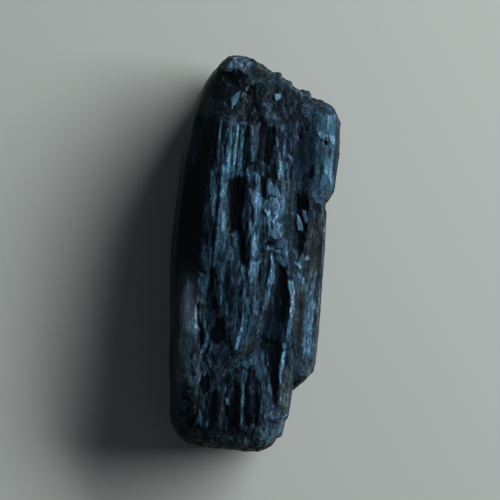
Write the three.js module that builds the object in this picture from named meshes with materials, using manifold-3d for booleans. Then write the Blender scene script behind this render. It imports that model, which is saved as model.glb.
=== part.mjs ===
// A kyanite crystal lying on its broad back cleavage face.
//
// The crystal is one solid. It is a bundle of blades that grew together along Y: a thick trunk, two narrower
// columns down its right side, and many thin laths that stand a little proud of it. Where a lath has broken
// away it leaves a gap. The top end is an oblique, splintered break, and the bottom end is blunt and worn.
//
// Millimetres. +Z is up, out of the crystal's front. +Y runs along the blades, towards the oblique end, and
// +X runs across them. The origin is the middle of the flat back face.

import * as THREE from "three";
import Module from "manifold-3d";

const wasm = await Module();
wasm.setup();

// Driving dimensions: the crystal's overall size, to which the joined blades are fitted at the end.
const LENGTH = 42;
const WIDTH = 17;
const THICKNESS = 11.6;

const CRYSTAL_BLUE = 0x1b2a3a;
const CRYSTAL_ROUGHNESS = 0.35;

// A blade's section, as corners in shares of its width and height, from the right, over the front, to the back.
const TRUNK_SECTION = [
  [1.0, 0.52],
  [0.99, 0.8],
  [0.94, 0.95],
  [0.8, 0.985],
  [0.55, 1.0],
  [0.36, 0.995],
  [0.22, 0.97],
  [0.04, 0.75],
  [0.0, 0.48],
  [0.01, 0.26],
  [0.06, 0.08],
  [0.14, 0.0],
  [0.86, 0.0],
  [0.95, 0.09],
  [0.99, 0.28],
];
const COLUMN_SECTION = [
  [1.0, 0.3],
  [1.0, 0.7],
  [0.93, 0.9],
  [0.72, 1.0],
  [0.35, 0.99],
  [0.0, 0.93],
  [0.0, 0.1],
  [0.5, 0.0],
  [0.9, 0.09],
];

// A blade's rows: [y, left, right, back, front].
const TRUNK = [
  [-21.0, -2.8, 2.9, 3.0, 6.4],
  [-20.7, -4.3, 3.9, 1.9, 7.9],
  [-20.0, -5.6, 4.8, 0.8, 9.0],
  [-18.6, -6.5, 5.5, 0.0, 9.8],
  [-16.0, -6.8, 5.8, 0.0, 10.2],
  [-12.0, -7.2, 5.9, 0.0, 10.4],
  [-8.0, -7.5, 6.1, 0.0, 10.6],
  [-4.0, -7.95, 6.4, 0.0, 10.8],
  [0.0, -8.15, 6.9, 0.0, 10.9],
  [5.0, -8.1, 7.4, 0.0, 10.9],
  [9.0, -7.95, 7.6, 0.0, 10.8],
  [12.5, -7.65, 7.8, 0.0, 10.7],
  [14.0, -7.4, 7.9, 0.0, 10.5],
  [15.3, -7.1, 7.8, 0.0, 9.9],
  [16.2, -6.8, 7.2, 0.1, 9.5],
  [17.2, -6.4, 5.2, 0.4, 9.1],
  [18.3, -5.9, 3.0, 0.9, 8.7],
  [19.4, -5.1, 1.1, 1.6, 8.2],
  [20.2, -4.4, -0.6, 2.4, 7.7],
  [20.7, -3.9, -1.6, 3.4, 7.0],
];
const UPPER_COLUMN = [
  [6.0, 5.6, 7.9, 3.6, 9.4],
  [6.5, 5.2, 8.35, 2.9, 10.2],
  [7.8, 4.9, 8.7, 2.2, 10.6],
  [10.5, 4.9, 8.8, 1.9, 10.8],
  [13.6, 5.0, 8.75, 2.0, 10.7],
  [15.2, 5.0, 8.45, 2.4, 10.3],
  [16.0, 4.8, 7.95, 3.0, 9.8],
  [16.6, 4.6, 7.0, 3.8, 9.2],
];
const LOWER_COLUMN = [
  [-13.9, 4.8, 6.6, 3.4, 6.8],
  [-13.1, 4.6, 7.4, 2.0, 8.3],
  [-12.2, 4.5, 8.1, 1.2, 9.1],
  [-10.5, 4.5, 8.5, 0.9, 9.6],
  [-7.5, 4.7, 8.55, 0.8, 9.8],
  [-4.0, 5.0, 8.3, 0.9, 9.9],
  [0.0, 5.2, 8.15, 1.1, 9.9],
  [4.0, 5.3, 8.1, 1.4, 9.8],
  [7.0, 5.4, 7.9, 1.8, 9.6],
];

// Laths and gaps stand in a frame turned about the crystal's axis, which runs along Y at this height.
const AXIS_HEIGHT = 5.8;

// A group of laths: how far it is turned from the front, towards the right, how far from the axis the laths'
// feet are, whether their ends are blunt, and the laths themselves. A lath is its two ends, each
// [across, y, reach], then its width and its lean. Its reach is its outer face's distance from the axis, and
// its lean is how much further out its right edge is than its left one.
const LATHS = [
  {
    turn: 0,
    foot: 2.0,
    blunt: false,
    rows: [
      // The ribbed bundle beside the smooth left flank, and the fibres that carry it on downwards.
      [[-4.3, 13.9, 4.5], [-4.5, 7.6, 4.8], 0.85, 0.35],
      [[-3.35, 14.1, 4.7], [-3.5, 8.4, 5.0], 0.7, -0.2],
      [[-2.5, 13.8, 4.9], [-2.6, 8.0, 5.2], 0.75, 0.2],
      [[-1.65, 13.9, 4.8], [-1.7, 8.6, 5.1], 0.5, 0.3],
      [[-0.6, 13.8, 5.1], [-0.8, 9.4, 5.3], 0.8, -0.25],
      [[-4.6, 8.8, 4.8], [-4.9, -1.6, 4.9], 0.9, 0.3],
      [[-3.75, 9.0, 5.1], [-4.0, -2.2, 5.0], 0.7, -0.15],
      [[-3.1, 7.4, 5.0], [-3.0, -1.0, 5.1], 0.6, 0.25],
      [[-3.5, -0.6, 4.9], [-3.3, -6.4, 4.8], 0.8, -0.25],
      [[-2.4, -0.8, 5.0], [-2.7, -7.2, 4.8], 0.7, 0.2],
      [[-1.5, -1.6, 5.1], [-1.2, -7.0, 4.9], 0.9, -0.3],
      // The middle bundle, the swollen knot on its right, and the pale fibres above the knot.
      [[0.1, 8.8, 5.3], [0.0, -0.6, 5.5], 1.0, 0.2],
      [[0.75, 6.8, 5.5], [0.8, -3.6, 5.5], 0.8, -0.2],
      [[-0.2, -1.8, 5.3], [0.1, -10.6, 5.1], 0.9, 0.3],
      [[2.0, 8.1, 5.3], [1.9, 3.2, 5.6], 1.4, 0.35],
      [[3.0, 6.6, 5.5], [2.9, 1.8, 5.6], 1.2, -0.3],
      [[2.3, 3.0, 5.3], [3.6, 0.2, 5.2], 1.5, -0.2],
      [[2.4, 13.4, 4.9], [2.6, 7.4, 5.2], 0.8, 0.25],
      [[3.3, 13.0, 4.9], [3.4, 4.8, 5.2], 0.9, -0.2],
      // The smooth facet left of the upper column.
      [[4.9, 14.4, 4.5], [5.0, 6.9, 4.9], 2.2, 0.35],
      // The crests of the lower middle.
      [[3.1, 0.9, 5.2], [1.9, -8.8, 5.2], 0.7, 0.3],
      [[1.7, -2.6, 5.3], [1.0, -9.6, 5.1], 0.7, -0.3],
      [[5.1, -1.2, 4.8], [5.0, -9.6, 4.9], 0.55, 0.25],
      [[4.9, -9.0, 4.7], [4.7, -15.4, 4.3], 0.6, 0.2],
      [[2.4, -9.0, 5.0], [-1.2, -12.6, 4.8], 1.0, -0.2],
      [[-0.6, -11.6, 4.8], [-3.8, -14.4, 4.4], 1.0, 0.2],
      [[1.5, -10.4, 5.0], [1.1, -18.8, 4.3], 0.8, 0.3],
      [[-0.9, -12.8, 4.7], [-1.1, -19.2, 4.1], 0.7, -0.25],
      [[-2.7, -13.6, 4.5], [-3.2, -19.0, 3.9], 1.2, 0.3],
      [[3.4, -12.6, 4.7], [3.2, -20.0, 3.9], 1.9, 0.3],
      [[4.8, -14.2, 4.2], [4.6, -19.0, 3.5], 1.3, -0.3],
    ],
  },
  {
    // The smooth shoulder at the lower left.
    turn: -20,
    foot: 2.0,
    blunt: false,
    rows: [
      [[-3.8, -2.0, 5.75], [-3.5, -15.2, 5.5], 3.3, 0.0],
      [[-3.9, -12.6, 5.4], [-3.4, -19.0, 4.9], 2.8, 0.2],
    ],
  },
  {
    // The shoulder's left side, and the edge above it.
    turn: -44,
    foot: 2.0,
    blunt: false,
    rows: [
      [[-1.7, -2.6, 6.35], [-1.6, -15.0, 6.05], 2.2, 0.0],
      [[0.9, 14.6, 6.0], [1.0, -2.8, 6.35], 1.2, 0.2],
    ],
  },
  {
    // The right flank: splinters down the two columns, and the trunk's side between and below them.
    turn: 90,
    foot: 3.0,
    blunt: true,
    rows: [
      [[3.6, 15.0, 8.55], [3.5, 7.2, 8.6], 1.5, -0.3],
      [[1.4, 14.6, 8.8], [1.2, 7.4, 8.85], 1.7, 0.2],
      [[-0.9, 15.2, 8.75], [-1.0, 7.0, 8.8], 2.0, -0.25],
      [[-3.2, 13.2, 7.9], [-3.2, 2.0, 7.7], 1.8, 0.3],
      [[2.9, 5.6, 8.15], [2.8, -10.6, 8.55], 1.4, 0.25],
      [[1.2, 6.0, 8.25], [1.0, -11.8, 8.6], 1.5, -0.25],
      [[-0.7, 5.2, 8.2], [-0.9, -12.4, 8.55], 1.9, 0.3],
      [[-2.9, 4.6, 8.0], [-3.0, -11.0, 8.3], 1.7, -0.3],
      [[1.4, -12.6, 6.1], [1.2, -18.8, 5.8], 2.0, 0.3],
      [[-1.2, -12.0, 6.15], [-1.3, -19.2, 5.75], 2.4, -0.25],
      [[-3.8, -2.0, 6.9], [-3.8, -17.4, 6.1], 1.6, 0.25],
    ],
  },
  {
    // The splinters of the oblique end: the back ones, then the front ones.
    turn: 0,
    foot: -4.0,
    blunt: true,
    rows: [
      [[-3.4, 20.2, -0.6], [-3.4, 12.0, -0.6], 3.0, 0.8],
      [[-1.0, 19.8, 0.2], [-1.0, 12.0, 0.2], 1.9, -0.6],
      [[1.5, 18.9, -0.4], [1.5, 11.0, -0.4], 2.4, 0.9],
      [[4.0, 17.6, 0.4], [4.0, 10.0, 0.4], 2.3, -0.8],
      [[6.3, 16.5, 0.8], [6.3, 10.0, 0.8], 2.6, 0.5],
    ],
  },
  {
    turn: 0,
    foot: -1.5,
    blunt: true,
    rows: [
      [[-4.6, 19.4, 1.9], [-4.7, 12.0, 3.2], 1.2, 0.3],
      [[-2.7, 20.85, 1.7], [-2.7, 12.0, 3.4], 2.1, 0.5],
      [[-0.6, 20.1, 2.1], [-0.6, 12.0, 4.0], 1.6, -0.5],
      [[1.3, 19.35, 2.2], [1.3, 12.0, 4.2], 1.5, 0.6],
      [[2.7, 18.6, 2.6], [2.7, 11.0, 4.4], 1.1, -0.3],
      [[4.4, 17.7, 2.7], [4.4, 11.0, 4.3], 1.9, 0.5],
      [[6.2, 16.8, 2.9], [6.2, 11.0, 4.4], 1.5, -0.4],
    ],
  },
  {
    // The stubs of the blunt end.
    turn: 0,
    foot: -3.6,
    blunt: true,
    rows: [
      [[-4.6, -20.0, 1.8], [-4.7, -13.0, 3.8], 2.0, 0.5],
      [[-2.2, -20.8, 1.2], [-2.2, -13.0, 4.0], 2.6, -0.4],
      [[0.4, -21.0, 1.5], [0.4, -13.0, 4.2], 2.2, 0.5],
      [[2.5, -20.8, 1.0], [2.5, -13.0, 4.0], 1.9, -0.5],
      [[4.2, -19.7, 1.4], [4.2, -13.0, 3.6], 1.7, 0.4],
    ],
  },
];

// Gaps are cut like laths on the front, from their floor outwards: a row's reaches and lean are the floor's.
const GAP_TOP = 9;
const FRONT_GAPS = [
  // The long dark pocket left of the middle, and the narrow one that carries on below it.
  [[-1.8, 7.9, 4.5], [-1.6, 1.8, 4.6], 1.8, 0.5],
  [[-0.65, 2.4, 4.7], [-0.75, -2.2, 4.7], 0.7, 0.3],
  // The flat hollow right of the ribbed bundle.
  [[0.9, 14.4, 4.4], [1.0, 8.6, 4.8], 1.7, -0.3],
  // The pocket between the two right columns.
  [[5.2, 7.3, 4.1], [5.6, 0.3, 4.1], 1.7, 0.5],
  // The wedge that opens downwards between two crests, and its foot.
  [[4.1, -0.6, 4.8], [3.3, -9.9, 4.6], 1.9, 0.4],
  [[3.8, -9.6, 4.5], [3.9, -14.4, 4.3], 1.3, 0.4],
  // The slot behind the lower left shoulder.
  [[-4.6, -5.5, 4.3], [-3.8, -10.6, 4.2], 0.55, 0.0],
  // The hollows of the oblique end.
  [[-1.1, 17.8, 3.0], [-1.1, 13.8, 4.4], 1.5, 0.4],
  [[-4.4, 19.0, 1.8], [-2.6, 17.2, 2.6], 1.3, 0.4],
];

// Along a lath: how far it has come, its share of the full width, and how much of its rise it has lost.
const TAPERED_STATIONS = [
  [0.0, 0.12, 1.0],
  [0.1, 0.42, 0.45],
  [0.3, 0.82, 0.1],
  [0.7, 1.0, 0.0],
  [0.93, 0.85, 0.15],
  [1.0, 0.35, 0.9],
];
const BLUNT_STATIONS = [
  [0.0, 0.6, 1.0],
  [0.03, 0.9, 0.2],
  [0.5, 1.0, 0.0],
  [0.96, 0.95, 0.15],
  [1.0, 0.7, 0.9],
];
const LATH_RISE = 0.7;

// A closed loft through equal rings of points, each given as an array of [x, y, z], closed by a fan at each end.
function loft(rings) {
  const around = rings[0].length;
  const last = (rings.length - 1) * around;
  const triangles = [];
  for (let ring = 0; ring < last; ring += around) {
    for (let j = 0; j < around; j++) {
      const a = ring + j;
      const b = ring + ((j + 1) % around);
      triangles.push(a, a + around, b, b, a + around, b + around);
    }
  }
  for (let j = 1; j + 1 < around; j++) {
    triangles.push(0, j, j + 1);
    triangles.push(last, last + j + 1, last + j);
  }
  return new wasm.Manifold(
    new wasm.Mesh({
      numProp: 3,
      vertProperties: new Float32Array(rings.flat(2)),
      triVerts: new Uint32Array(triangles),
    }),
  );
}

// A thick blade: the section set at each row.
function blade(rows, section) {
  const rings = rows.map(([y, left, right, back, front]) =>
    section.map(([across, up]) => [
      THREE.MathUtils.lerp(left, right, across),
      y,
      THREE.MathUtils.lerp(back, front, up),
    ]),
  );
  return loft(rings);
}

// A thin four-sided blade between two ends. Its outer face leans, and sinks towards both ends. One that cuts a
// gap is the other way up: its floor leans, and rises towards both ends.
function lath([oneEnd, otherEnd, width, lean], { turn, foot, blunt, isGap }) {
  // A loft runs towards +Y, so the lower end comes first.
  const [lower, upper] = [oneEnd, otherEnd].sort((one, other) => one[1] - other[1]);
  const stations = blunt ? BLUNT_STATIONS : TAPERED_STATIONS;
  const radians = THREE.MathUtils.degToRad(turn);
  const rings = stations.map(([along, share, lost]) => {
    const [across, y, reach] = lower.map((value, i) => THREE.MathUtils.lerp(value, upper[i], along));
    const half = (width * share) / 2;
    const face = isGap ? reach + lost * LATH_RISE : reach - lost * LATH_RISE;
    const leaning = [
      [across + half, face + lean / 2],
      [across - half, face - lean / 2],
    ];
    const level = [
      [across - half, foot],
      [across + half, foot],
    ];
    // Round from the right inner corner, as the sections are.
    const corners = isGap
      ? [leaning[0], level[1], level[0], leaning[1]]
      : [level[1], leaning[0], leaning[1], level[0]];
    return corners.map(([x, out]) => [
      x * Math.cos(radians) + out * Math.sin(radians),
      y,
      AXIS_HEIGHT + out * Math.cos(radians) - x * Math.sin(radians),
    ]);
  });
  return loft(rings);
}

function geometryOf(manifold) {
  const { numProp, vertProperties, triVerts } = manifold.getMesh();
  const geometry = new THREE.BufferGeometry();
  geometry.setAttribute("position", new THREE.BufferAttribute(vertProperties, numProp));
  geometry.setIndex(new THREE.BufferAttribute(triVerts, 1));
  return geometry;
}

// Scales a geometry to the driving dimensions, and sets the middle of its underside on the origin.
function fitToSize(geometry) {
  geometry.computeBoundingBox();
  const { min, max } = geometry.boundingBox;
  geometry.translate(-(min.x + max.x) / 2, -(min.y + max.y) / 2, -min.z);
  geometry.scale(WIDTH / (max.x - min.x), LENGTH / (max.y - min.y), THICKNESS / (max.z - min.z));
  return geometry;
}

function kyaniteCrystal() {
  let crystal = blade(TRUNK, TRUNK_SECTION);
  for (const column of [UPPER_COLUMN, LOWER_COLUMN]) {
    crystal = crystal.add(blade(column, COLUMN_SECTION));
  }
  for (const { rows, ...setting } of LATHS) {
    for (const row of rows) {
      crystal = crystal.add(lath(row, { ...setting, isGap: false }));
    }
  }
  for (const row of FRONT_GAPS) {
    crystal = crystal.subtract(lath(row, { turn: 0, foot: GAP_TOP, blunt: false, isGap: true }));
  }
  const material = new THREE.MeshStandardMaterial({
    color: CRYSTAL_BLUE,
    roughness: CRYSTAL_ROUGHNESS,
    metalness: 0,
    flatShading: true,
  });
  const mesh = new THREE.Mesh(fitToSize(geometryOf(crystal)), material);
  mesh.name = "kyanite_crystal";
  return mesh;
}

const group = new THREE.Group();
group.add(kyaniteCrystal());

export default group;
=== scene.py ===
"""The kyanite crystal's looks: a fine mesh made from the CAD solid, its fibrous relief, its colours and its
stage.

The tables below are in millimetres, in a drawing of the crystal's front: x to the right and y towards the
oblique end. Lengths in the code are millimetres too, until the mesh is written in metres.
"""

import itertools
import math

import bpy
import numpy as np
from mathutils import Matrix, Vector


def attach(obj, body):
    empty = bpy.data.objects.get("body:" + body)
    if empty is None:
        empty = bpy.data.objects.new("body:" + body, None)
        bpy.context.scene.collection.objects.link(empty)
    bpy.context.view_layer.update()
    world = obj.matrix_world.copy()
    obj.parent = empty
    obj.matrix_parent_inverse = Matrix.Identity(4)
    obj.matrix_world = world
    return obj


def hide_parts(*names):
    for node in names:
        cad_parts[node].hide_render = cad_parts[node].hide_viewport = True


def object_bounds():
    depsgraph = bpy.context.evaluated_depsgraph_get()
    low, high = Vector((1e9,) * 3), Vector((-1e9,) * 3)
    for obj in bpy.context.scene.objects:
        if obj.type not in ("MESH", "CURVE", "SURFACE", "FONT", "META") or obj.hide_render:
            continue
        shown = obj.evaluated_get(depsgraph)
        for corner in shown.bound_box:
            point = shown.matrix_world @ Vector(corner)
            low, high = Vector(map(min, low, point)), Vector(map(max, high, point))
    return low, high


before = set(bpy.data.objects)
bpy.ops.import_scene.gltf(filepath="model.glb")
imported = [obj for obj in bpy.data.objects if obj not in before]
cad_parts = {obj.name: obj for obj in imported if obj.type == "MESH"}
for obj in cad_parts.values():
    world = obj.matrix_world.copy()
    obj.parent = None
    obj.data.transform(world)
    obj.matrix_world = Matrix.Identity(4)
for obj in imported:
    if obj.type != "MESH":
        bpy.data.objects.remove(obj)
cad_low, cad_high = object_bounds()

MM = 0.001
NODE = "kyanite_crystal"

# Where the row frame's origin lies in the drawing.
DRAWING_ORIGIN = (0.4, 0.0)

# The mesh is remade with this spacing, then thinned to this many triangles. Only the sides and the back are
# thinned, where the normals rise less than this.
MESH_SPACING = 0.108
MOST_TRIANGLES = 190_000
KEPT_RISE = 0.3

# How far a point's normal has to turn to a side for the point to start to belong to it, and to belong to it
# in full. The left flank also starts only this far left of the middle, so walls inside the front don't count.
FACING = {"front": (0.2, 0.6), "left": (0.45, 0.8), "back": (0.7, 0.95), "ends": (0.35, 0.75)}
FLANK_SPAN = (4.0, 5.0)

# How many times things are evened out over their neighbours: the new mesh and its worn places, the front's
# gaps and their rims, and then the normals and the surfaces that the relief and the looks are measured from.
ROUNDS = {
    "mesh": 14,
    "worn": 80,
    "gaps": 50,
    "rims": 40,
    "sides": 10,
    "front": 60,
    "relief": 10,
    "looks": 6,
    "crests": 12,
    "slopes": 50,
}

# The front's gaps are filled up in this many steps, and lose this share of their depth, so that their walls
# slope gently.
FILL_STEPS = 8
FILLED_SHARE = 0.8

# The roughness of the stone and of its special places: the blackest ones, the walls that slope away from the
# front, the small flat faces, the left flank and the two broken ends.
ROUGHNESS = {"stone": 0.48, "dark": 0.32, "wall": 0.85, "face": 0.36, "flank": 0.44, "ends": 0.5}

# How far a wall's wide surroundings turn away from the front, from where the wall starts to count to where it
# counts in full, and how much less it counts where the stone is grainy.
WALL_SLOPES = (0.03, 0.10)
WALL_GRAIN = 0.5

# Colours laid on the stone, as linear reflectances. The dark blues are its own. The pale ones are partly its
# blue fibres and partly painted sheen, where glossy flakes catch the light; the shoulder's highlight colour
# is all painted highlight. The black ink is partly the stone's own black and partly painted shade in hollows
# and on the left flank.
COLOURS = {
    "ink": (0.0018, 0.0030, 0.0052),
    "navy": (0.0048, 0.0105, 0.0190),
    "slate": (0.012, 0.024, 0.038),
    "steel": (0.023, 0.059, 0.096),
    "teal": (0.038, 0.103, 0.156),
    "pearl": (0.067, 0.147, 0.222),
    "frost": (0.150, 0.262, 0.365),
    "mist": (0.052, 0.120, 0.178),
    "shoulder_highlight": (0.170, 0.245, 0.320),
    "violet": (0.050, 0.052, 0.110),
    "lavender": (0.036, 0.064, 0.100),
    "grey": (0.034, 0.049, 0.058),
    "olive": (0.016, 0.022, 0.020),
}

# The colour under all others, how bright it is, and how much darker the hidden sides are painted, as painted
# shade.
GROUND = "slate"
GROUND_SHARE = 0.8
HIDDEN_PAINTED_SHADE = 0.7

# How strong the streaks are, and how much weaker on the smooth places: the left flank, the shoulder, the
# smooth parts of the front and the small flat faces.
STREAK_CONTRAST = 0.5
QUIET = {"left": 0.7, "shoulder": 0.6, "smooth": 0.3, "face": 0.5}

# Crests are lightened as painted highlight and troughs darkened as painted shade, by their height, within
# these limits.
CREST_PAINTED_LIGHT_CONTRAST = 12
CREST_PAINTED_LIGHT_LIMITS = (-1.2, 0.7)

# How much black is laid on the left flank as painted shade, and how much violet as a painted sheen.
FLANK_PAINTED_SHADE = 0.85
FLANK_PAINTED_SHEEN = 0.40

# How much of its own roughness a broken end gets.
END_SHARE = 0.7

# How the stone's hue wanders, from teal to violet: the change of the logarithms of red, green and blue.
HUE_SHIFT = (0.10, -0.045, 0.02)

# How far a mark of each colour stands out of the front, and how much further out its left edge is than its
# middle line, both as shares of its width. Pale flakes and crests stand out and face right. Dark places are
# sunk and don't lean.
RISES = {
    "ink": (-0.06, 0.0),
    "navy": (-0.04, 0.0),
    "slate": (-0.03, 0.0),
    "steel": (0.03, 0.03),
    "teal": (0.07, 0.05),
    "pearl": (0.09, 0.07),
    "frost": (0.11, 0.09),
    "shoulder_highlight": (0.0, 0.0),
    "lavender": (0.05, 0.05),
    "grey": (0.05, 0.04),
    "olive": (-0.02, 0.0),
}

# Wider marks rise no further than marks of this width, and patches rise by this share of what marks do.
WIDEST_RISE = 1.2
PATCH_RISE = 0.6

# Colours whose marks have crisp edges. The others fade out like silk.
CRISP = ("ink", "navy", "slate")

# How far inside a stroke's edge it is full, as a share of half its width: for a crisp mark, a silky mark and
# an area, for the height of a mark, and for the strokes of GRAINY, SMOOTH and STRAIGHT, of SHOULDER and of
# ROUNDED.
CRISP_RIM = 0.30
SILKY_RIM = 0.55
AREA_RIM = 0.9
RISE_RIM = 0.7
ZONE_RIM = 0.5
SHOULDER_RIM = 0.6
ROUNDED_RIM = 0.4

# How much wider than in the tables marks and areas are painted, and how far their edges are feathered.
MARK_SPREAD = 1.4
AREA_SPREAD = 1.6
FEATHERS = 0.25

# The soft edge of a patch, and how far round a patch its depth is measured.
PATCH_EDGE = 0.16
PATCH_REACH = 1.0

# How much of the wander and of the raggedness is left where the fibres run straight.
STRAIGHT_WANDER = 0.15
STRAIGHT_RAGGEDNESS = 0.3

# How much of the relief is left out on the smooth places: the left flank, the shoulder, the back, the smooth
# parts of the front, the knots and the small flat faces. The marks of the left flank rise less by this share.
CALM = {"left": 0.86, "shoulder": 0.85, "back": 0.6, "smooth": 0.75, "knot": 0.75, "face": 0.9}
FLANK_CALM = 0.8

# Layers of soft noise: the strength, the size and the seed of each.
NOISES = {
    # What moves the edges of strokes and patches across and along the fibres, and how the fibres wander.
    "ragged": [(0.07, (0.3, 0.6), 201), (0.08, (1.1, 2.4), 202)],
    "splintered": [(0.22, (0.2, 1.2), 203), (0.14, (0.4, 0.6), 204)],
    "wander": [(0.34, (2.2, 6.0), 11), (0.14, (0.9, 2.0), 12)],
    # What shakes the outlines of the grainy places and of their flakes, and the ends of the blades' flakes.
    "grain outline": [(0.5, (1.2, 1.6), 231)],
    "grain flakes": [(0.3, (0.9, 0.9), 235)],
    "flake ends": [(0.9, (0.25, 2.4), 61)],
    # The swell of the whole stone and its small bumps.
    "swell": [(0.05, (1.2, 3.0, 1.2), 72)],
    "bumps": [(0.02, (0.4, 0.5, 0.4), 71)],
    # What shakes and shears the cross-section whose flakes splinter the broken ends, and their grain.
    "end shake": [(0.5, (1.3, 1.3), 85)],
    "end shear": [(0.4, (0.9, 0.9), 86)],
    "end grain": [(0.06, (0.5, 0.5, 0.5), 89)],
    # The light and dark streaks on fibres, on grain and on the broken ends, the wandering hue and the
    # feathered edges of the marks.
    "streaks": [(0.7, (1.0, 6.0), 101), (0.9, (0.28, 1.5), 111), (0.72, (0.18, 0.5), 112)],
    "mottles": [(1.0, (0.9, 1.1), 121), (1.0, (0.3, 0.35), 122)],
    "speckles": [(1.0, (0.9, 0.9, 0.9), 151), (1.0, (0.3, 0.3, 0.3), 152)],
    "hues": [(1.0, (0.9, 2.4), 141), (0.8, (0.4, 0.8), 142)],
    "feathers": [(0.25, (0.15, 1.8), 131)],
}

# Layers of creased noise: the strength, the width, the length and the seed of each. Their creases sway by a
# share of a facet's width, over so many widths.
CREASE_SWAY = 0.45
SWAY_WIDTHS = 2.3
CREASES = {
    "blades": [(0.08, 1.9, 15.0, 21), (0.04, 0.85, 6.0, 31), (0.025, 0.36, 4.0, 41)],
    "flank": [(0.03, 0.9, 16.0, 51), (0.012, 0.4, 9.0, 52)],
}

# Layers of flakes: the size, the step, the slope and the seed of each.
FLAKES = {
    "blades": [((1.1, 6.0), 0.05, 0.07, 62), ((0.5, 3.4), 0.025, 0.10, 68)],
    "grain": [((1.2, 1.2), 0.05, 0.07, 241), ((0.55, 0.7), 0.04, 0.12, 251), ((0.3, 0.4), 0.03, 0.14, 261)],
    "ends": [((0.9, 0.9), 0.24, 0.2, 81), ((0.35, 0.35), 0.10, 0.2, 91)],
}

# Knots that the fibres swirl round: middle, reach and turn in radians.
SWIRLS = [
    ((2.2, 4.9), 1.9, 0.8),
    ((2.9, 2.7), 1.6, -1.1),
    ((3.5, 0.8), 1.9, 1.0),
    ((1.3, -11.2), 2.0, -0.6),
    ((-3.4, 6.2), 1.4, -0.7),
    ((4.6, 9.4), 1.8, 0.8),
]

# Where the sheets of the back, the right and the left lie when the sides are unrolled.
BACK_SHEET, RIGHT_SHEET, LEFT_SHEET = 100.0, 200.0, 300.0

# The marks of the hidden sides: each sheet's place, its span across and how many marks it gets.
HIDDEN_SHEETS = [
    (BACK_SHEET, -8.0, 8.0, 150),
    (RIGHT_SHEET, 0.0, 11.0, 130),
    (LEFT_SHEET, 0.0, 9.0, 60),
]

# The colours that they are drawn from, how far along the crystal they start, how wide the narrow and the wide
# ones are, the share of narrow ones, how many times longer than wide they are, how far they bend sideways and
# how strong they are.
HIDDEN_COLOURS = (
    *("ink", "ink", "ink", "ink", "navy", "navy", "navy"),
    *("slate", "slate", "slate", "steel", "steel", "grey", "lavender"),
)
HIDDEN_SPAN = (-19.5, 19.5)
NARROW_WIDTHS = (0.2, 0.5)
WIDE_WIDTHS = (0.5, 1.2)
NARROW_SHARE = 0.75
HIDDEN_LENGTHS = (4.0, 12.0)
HIDDEN_BENDS = (-0.3, 0.3)
HIDDEN_STRENGTHS = (0.35, 0.85)
HIDDEN_SEED = 5

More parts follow.
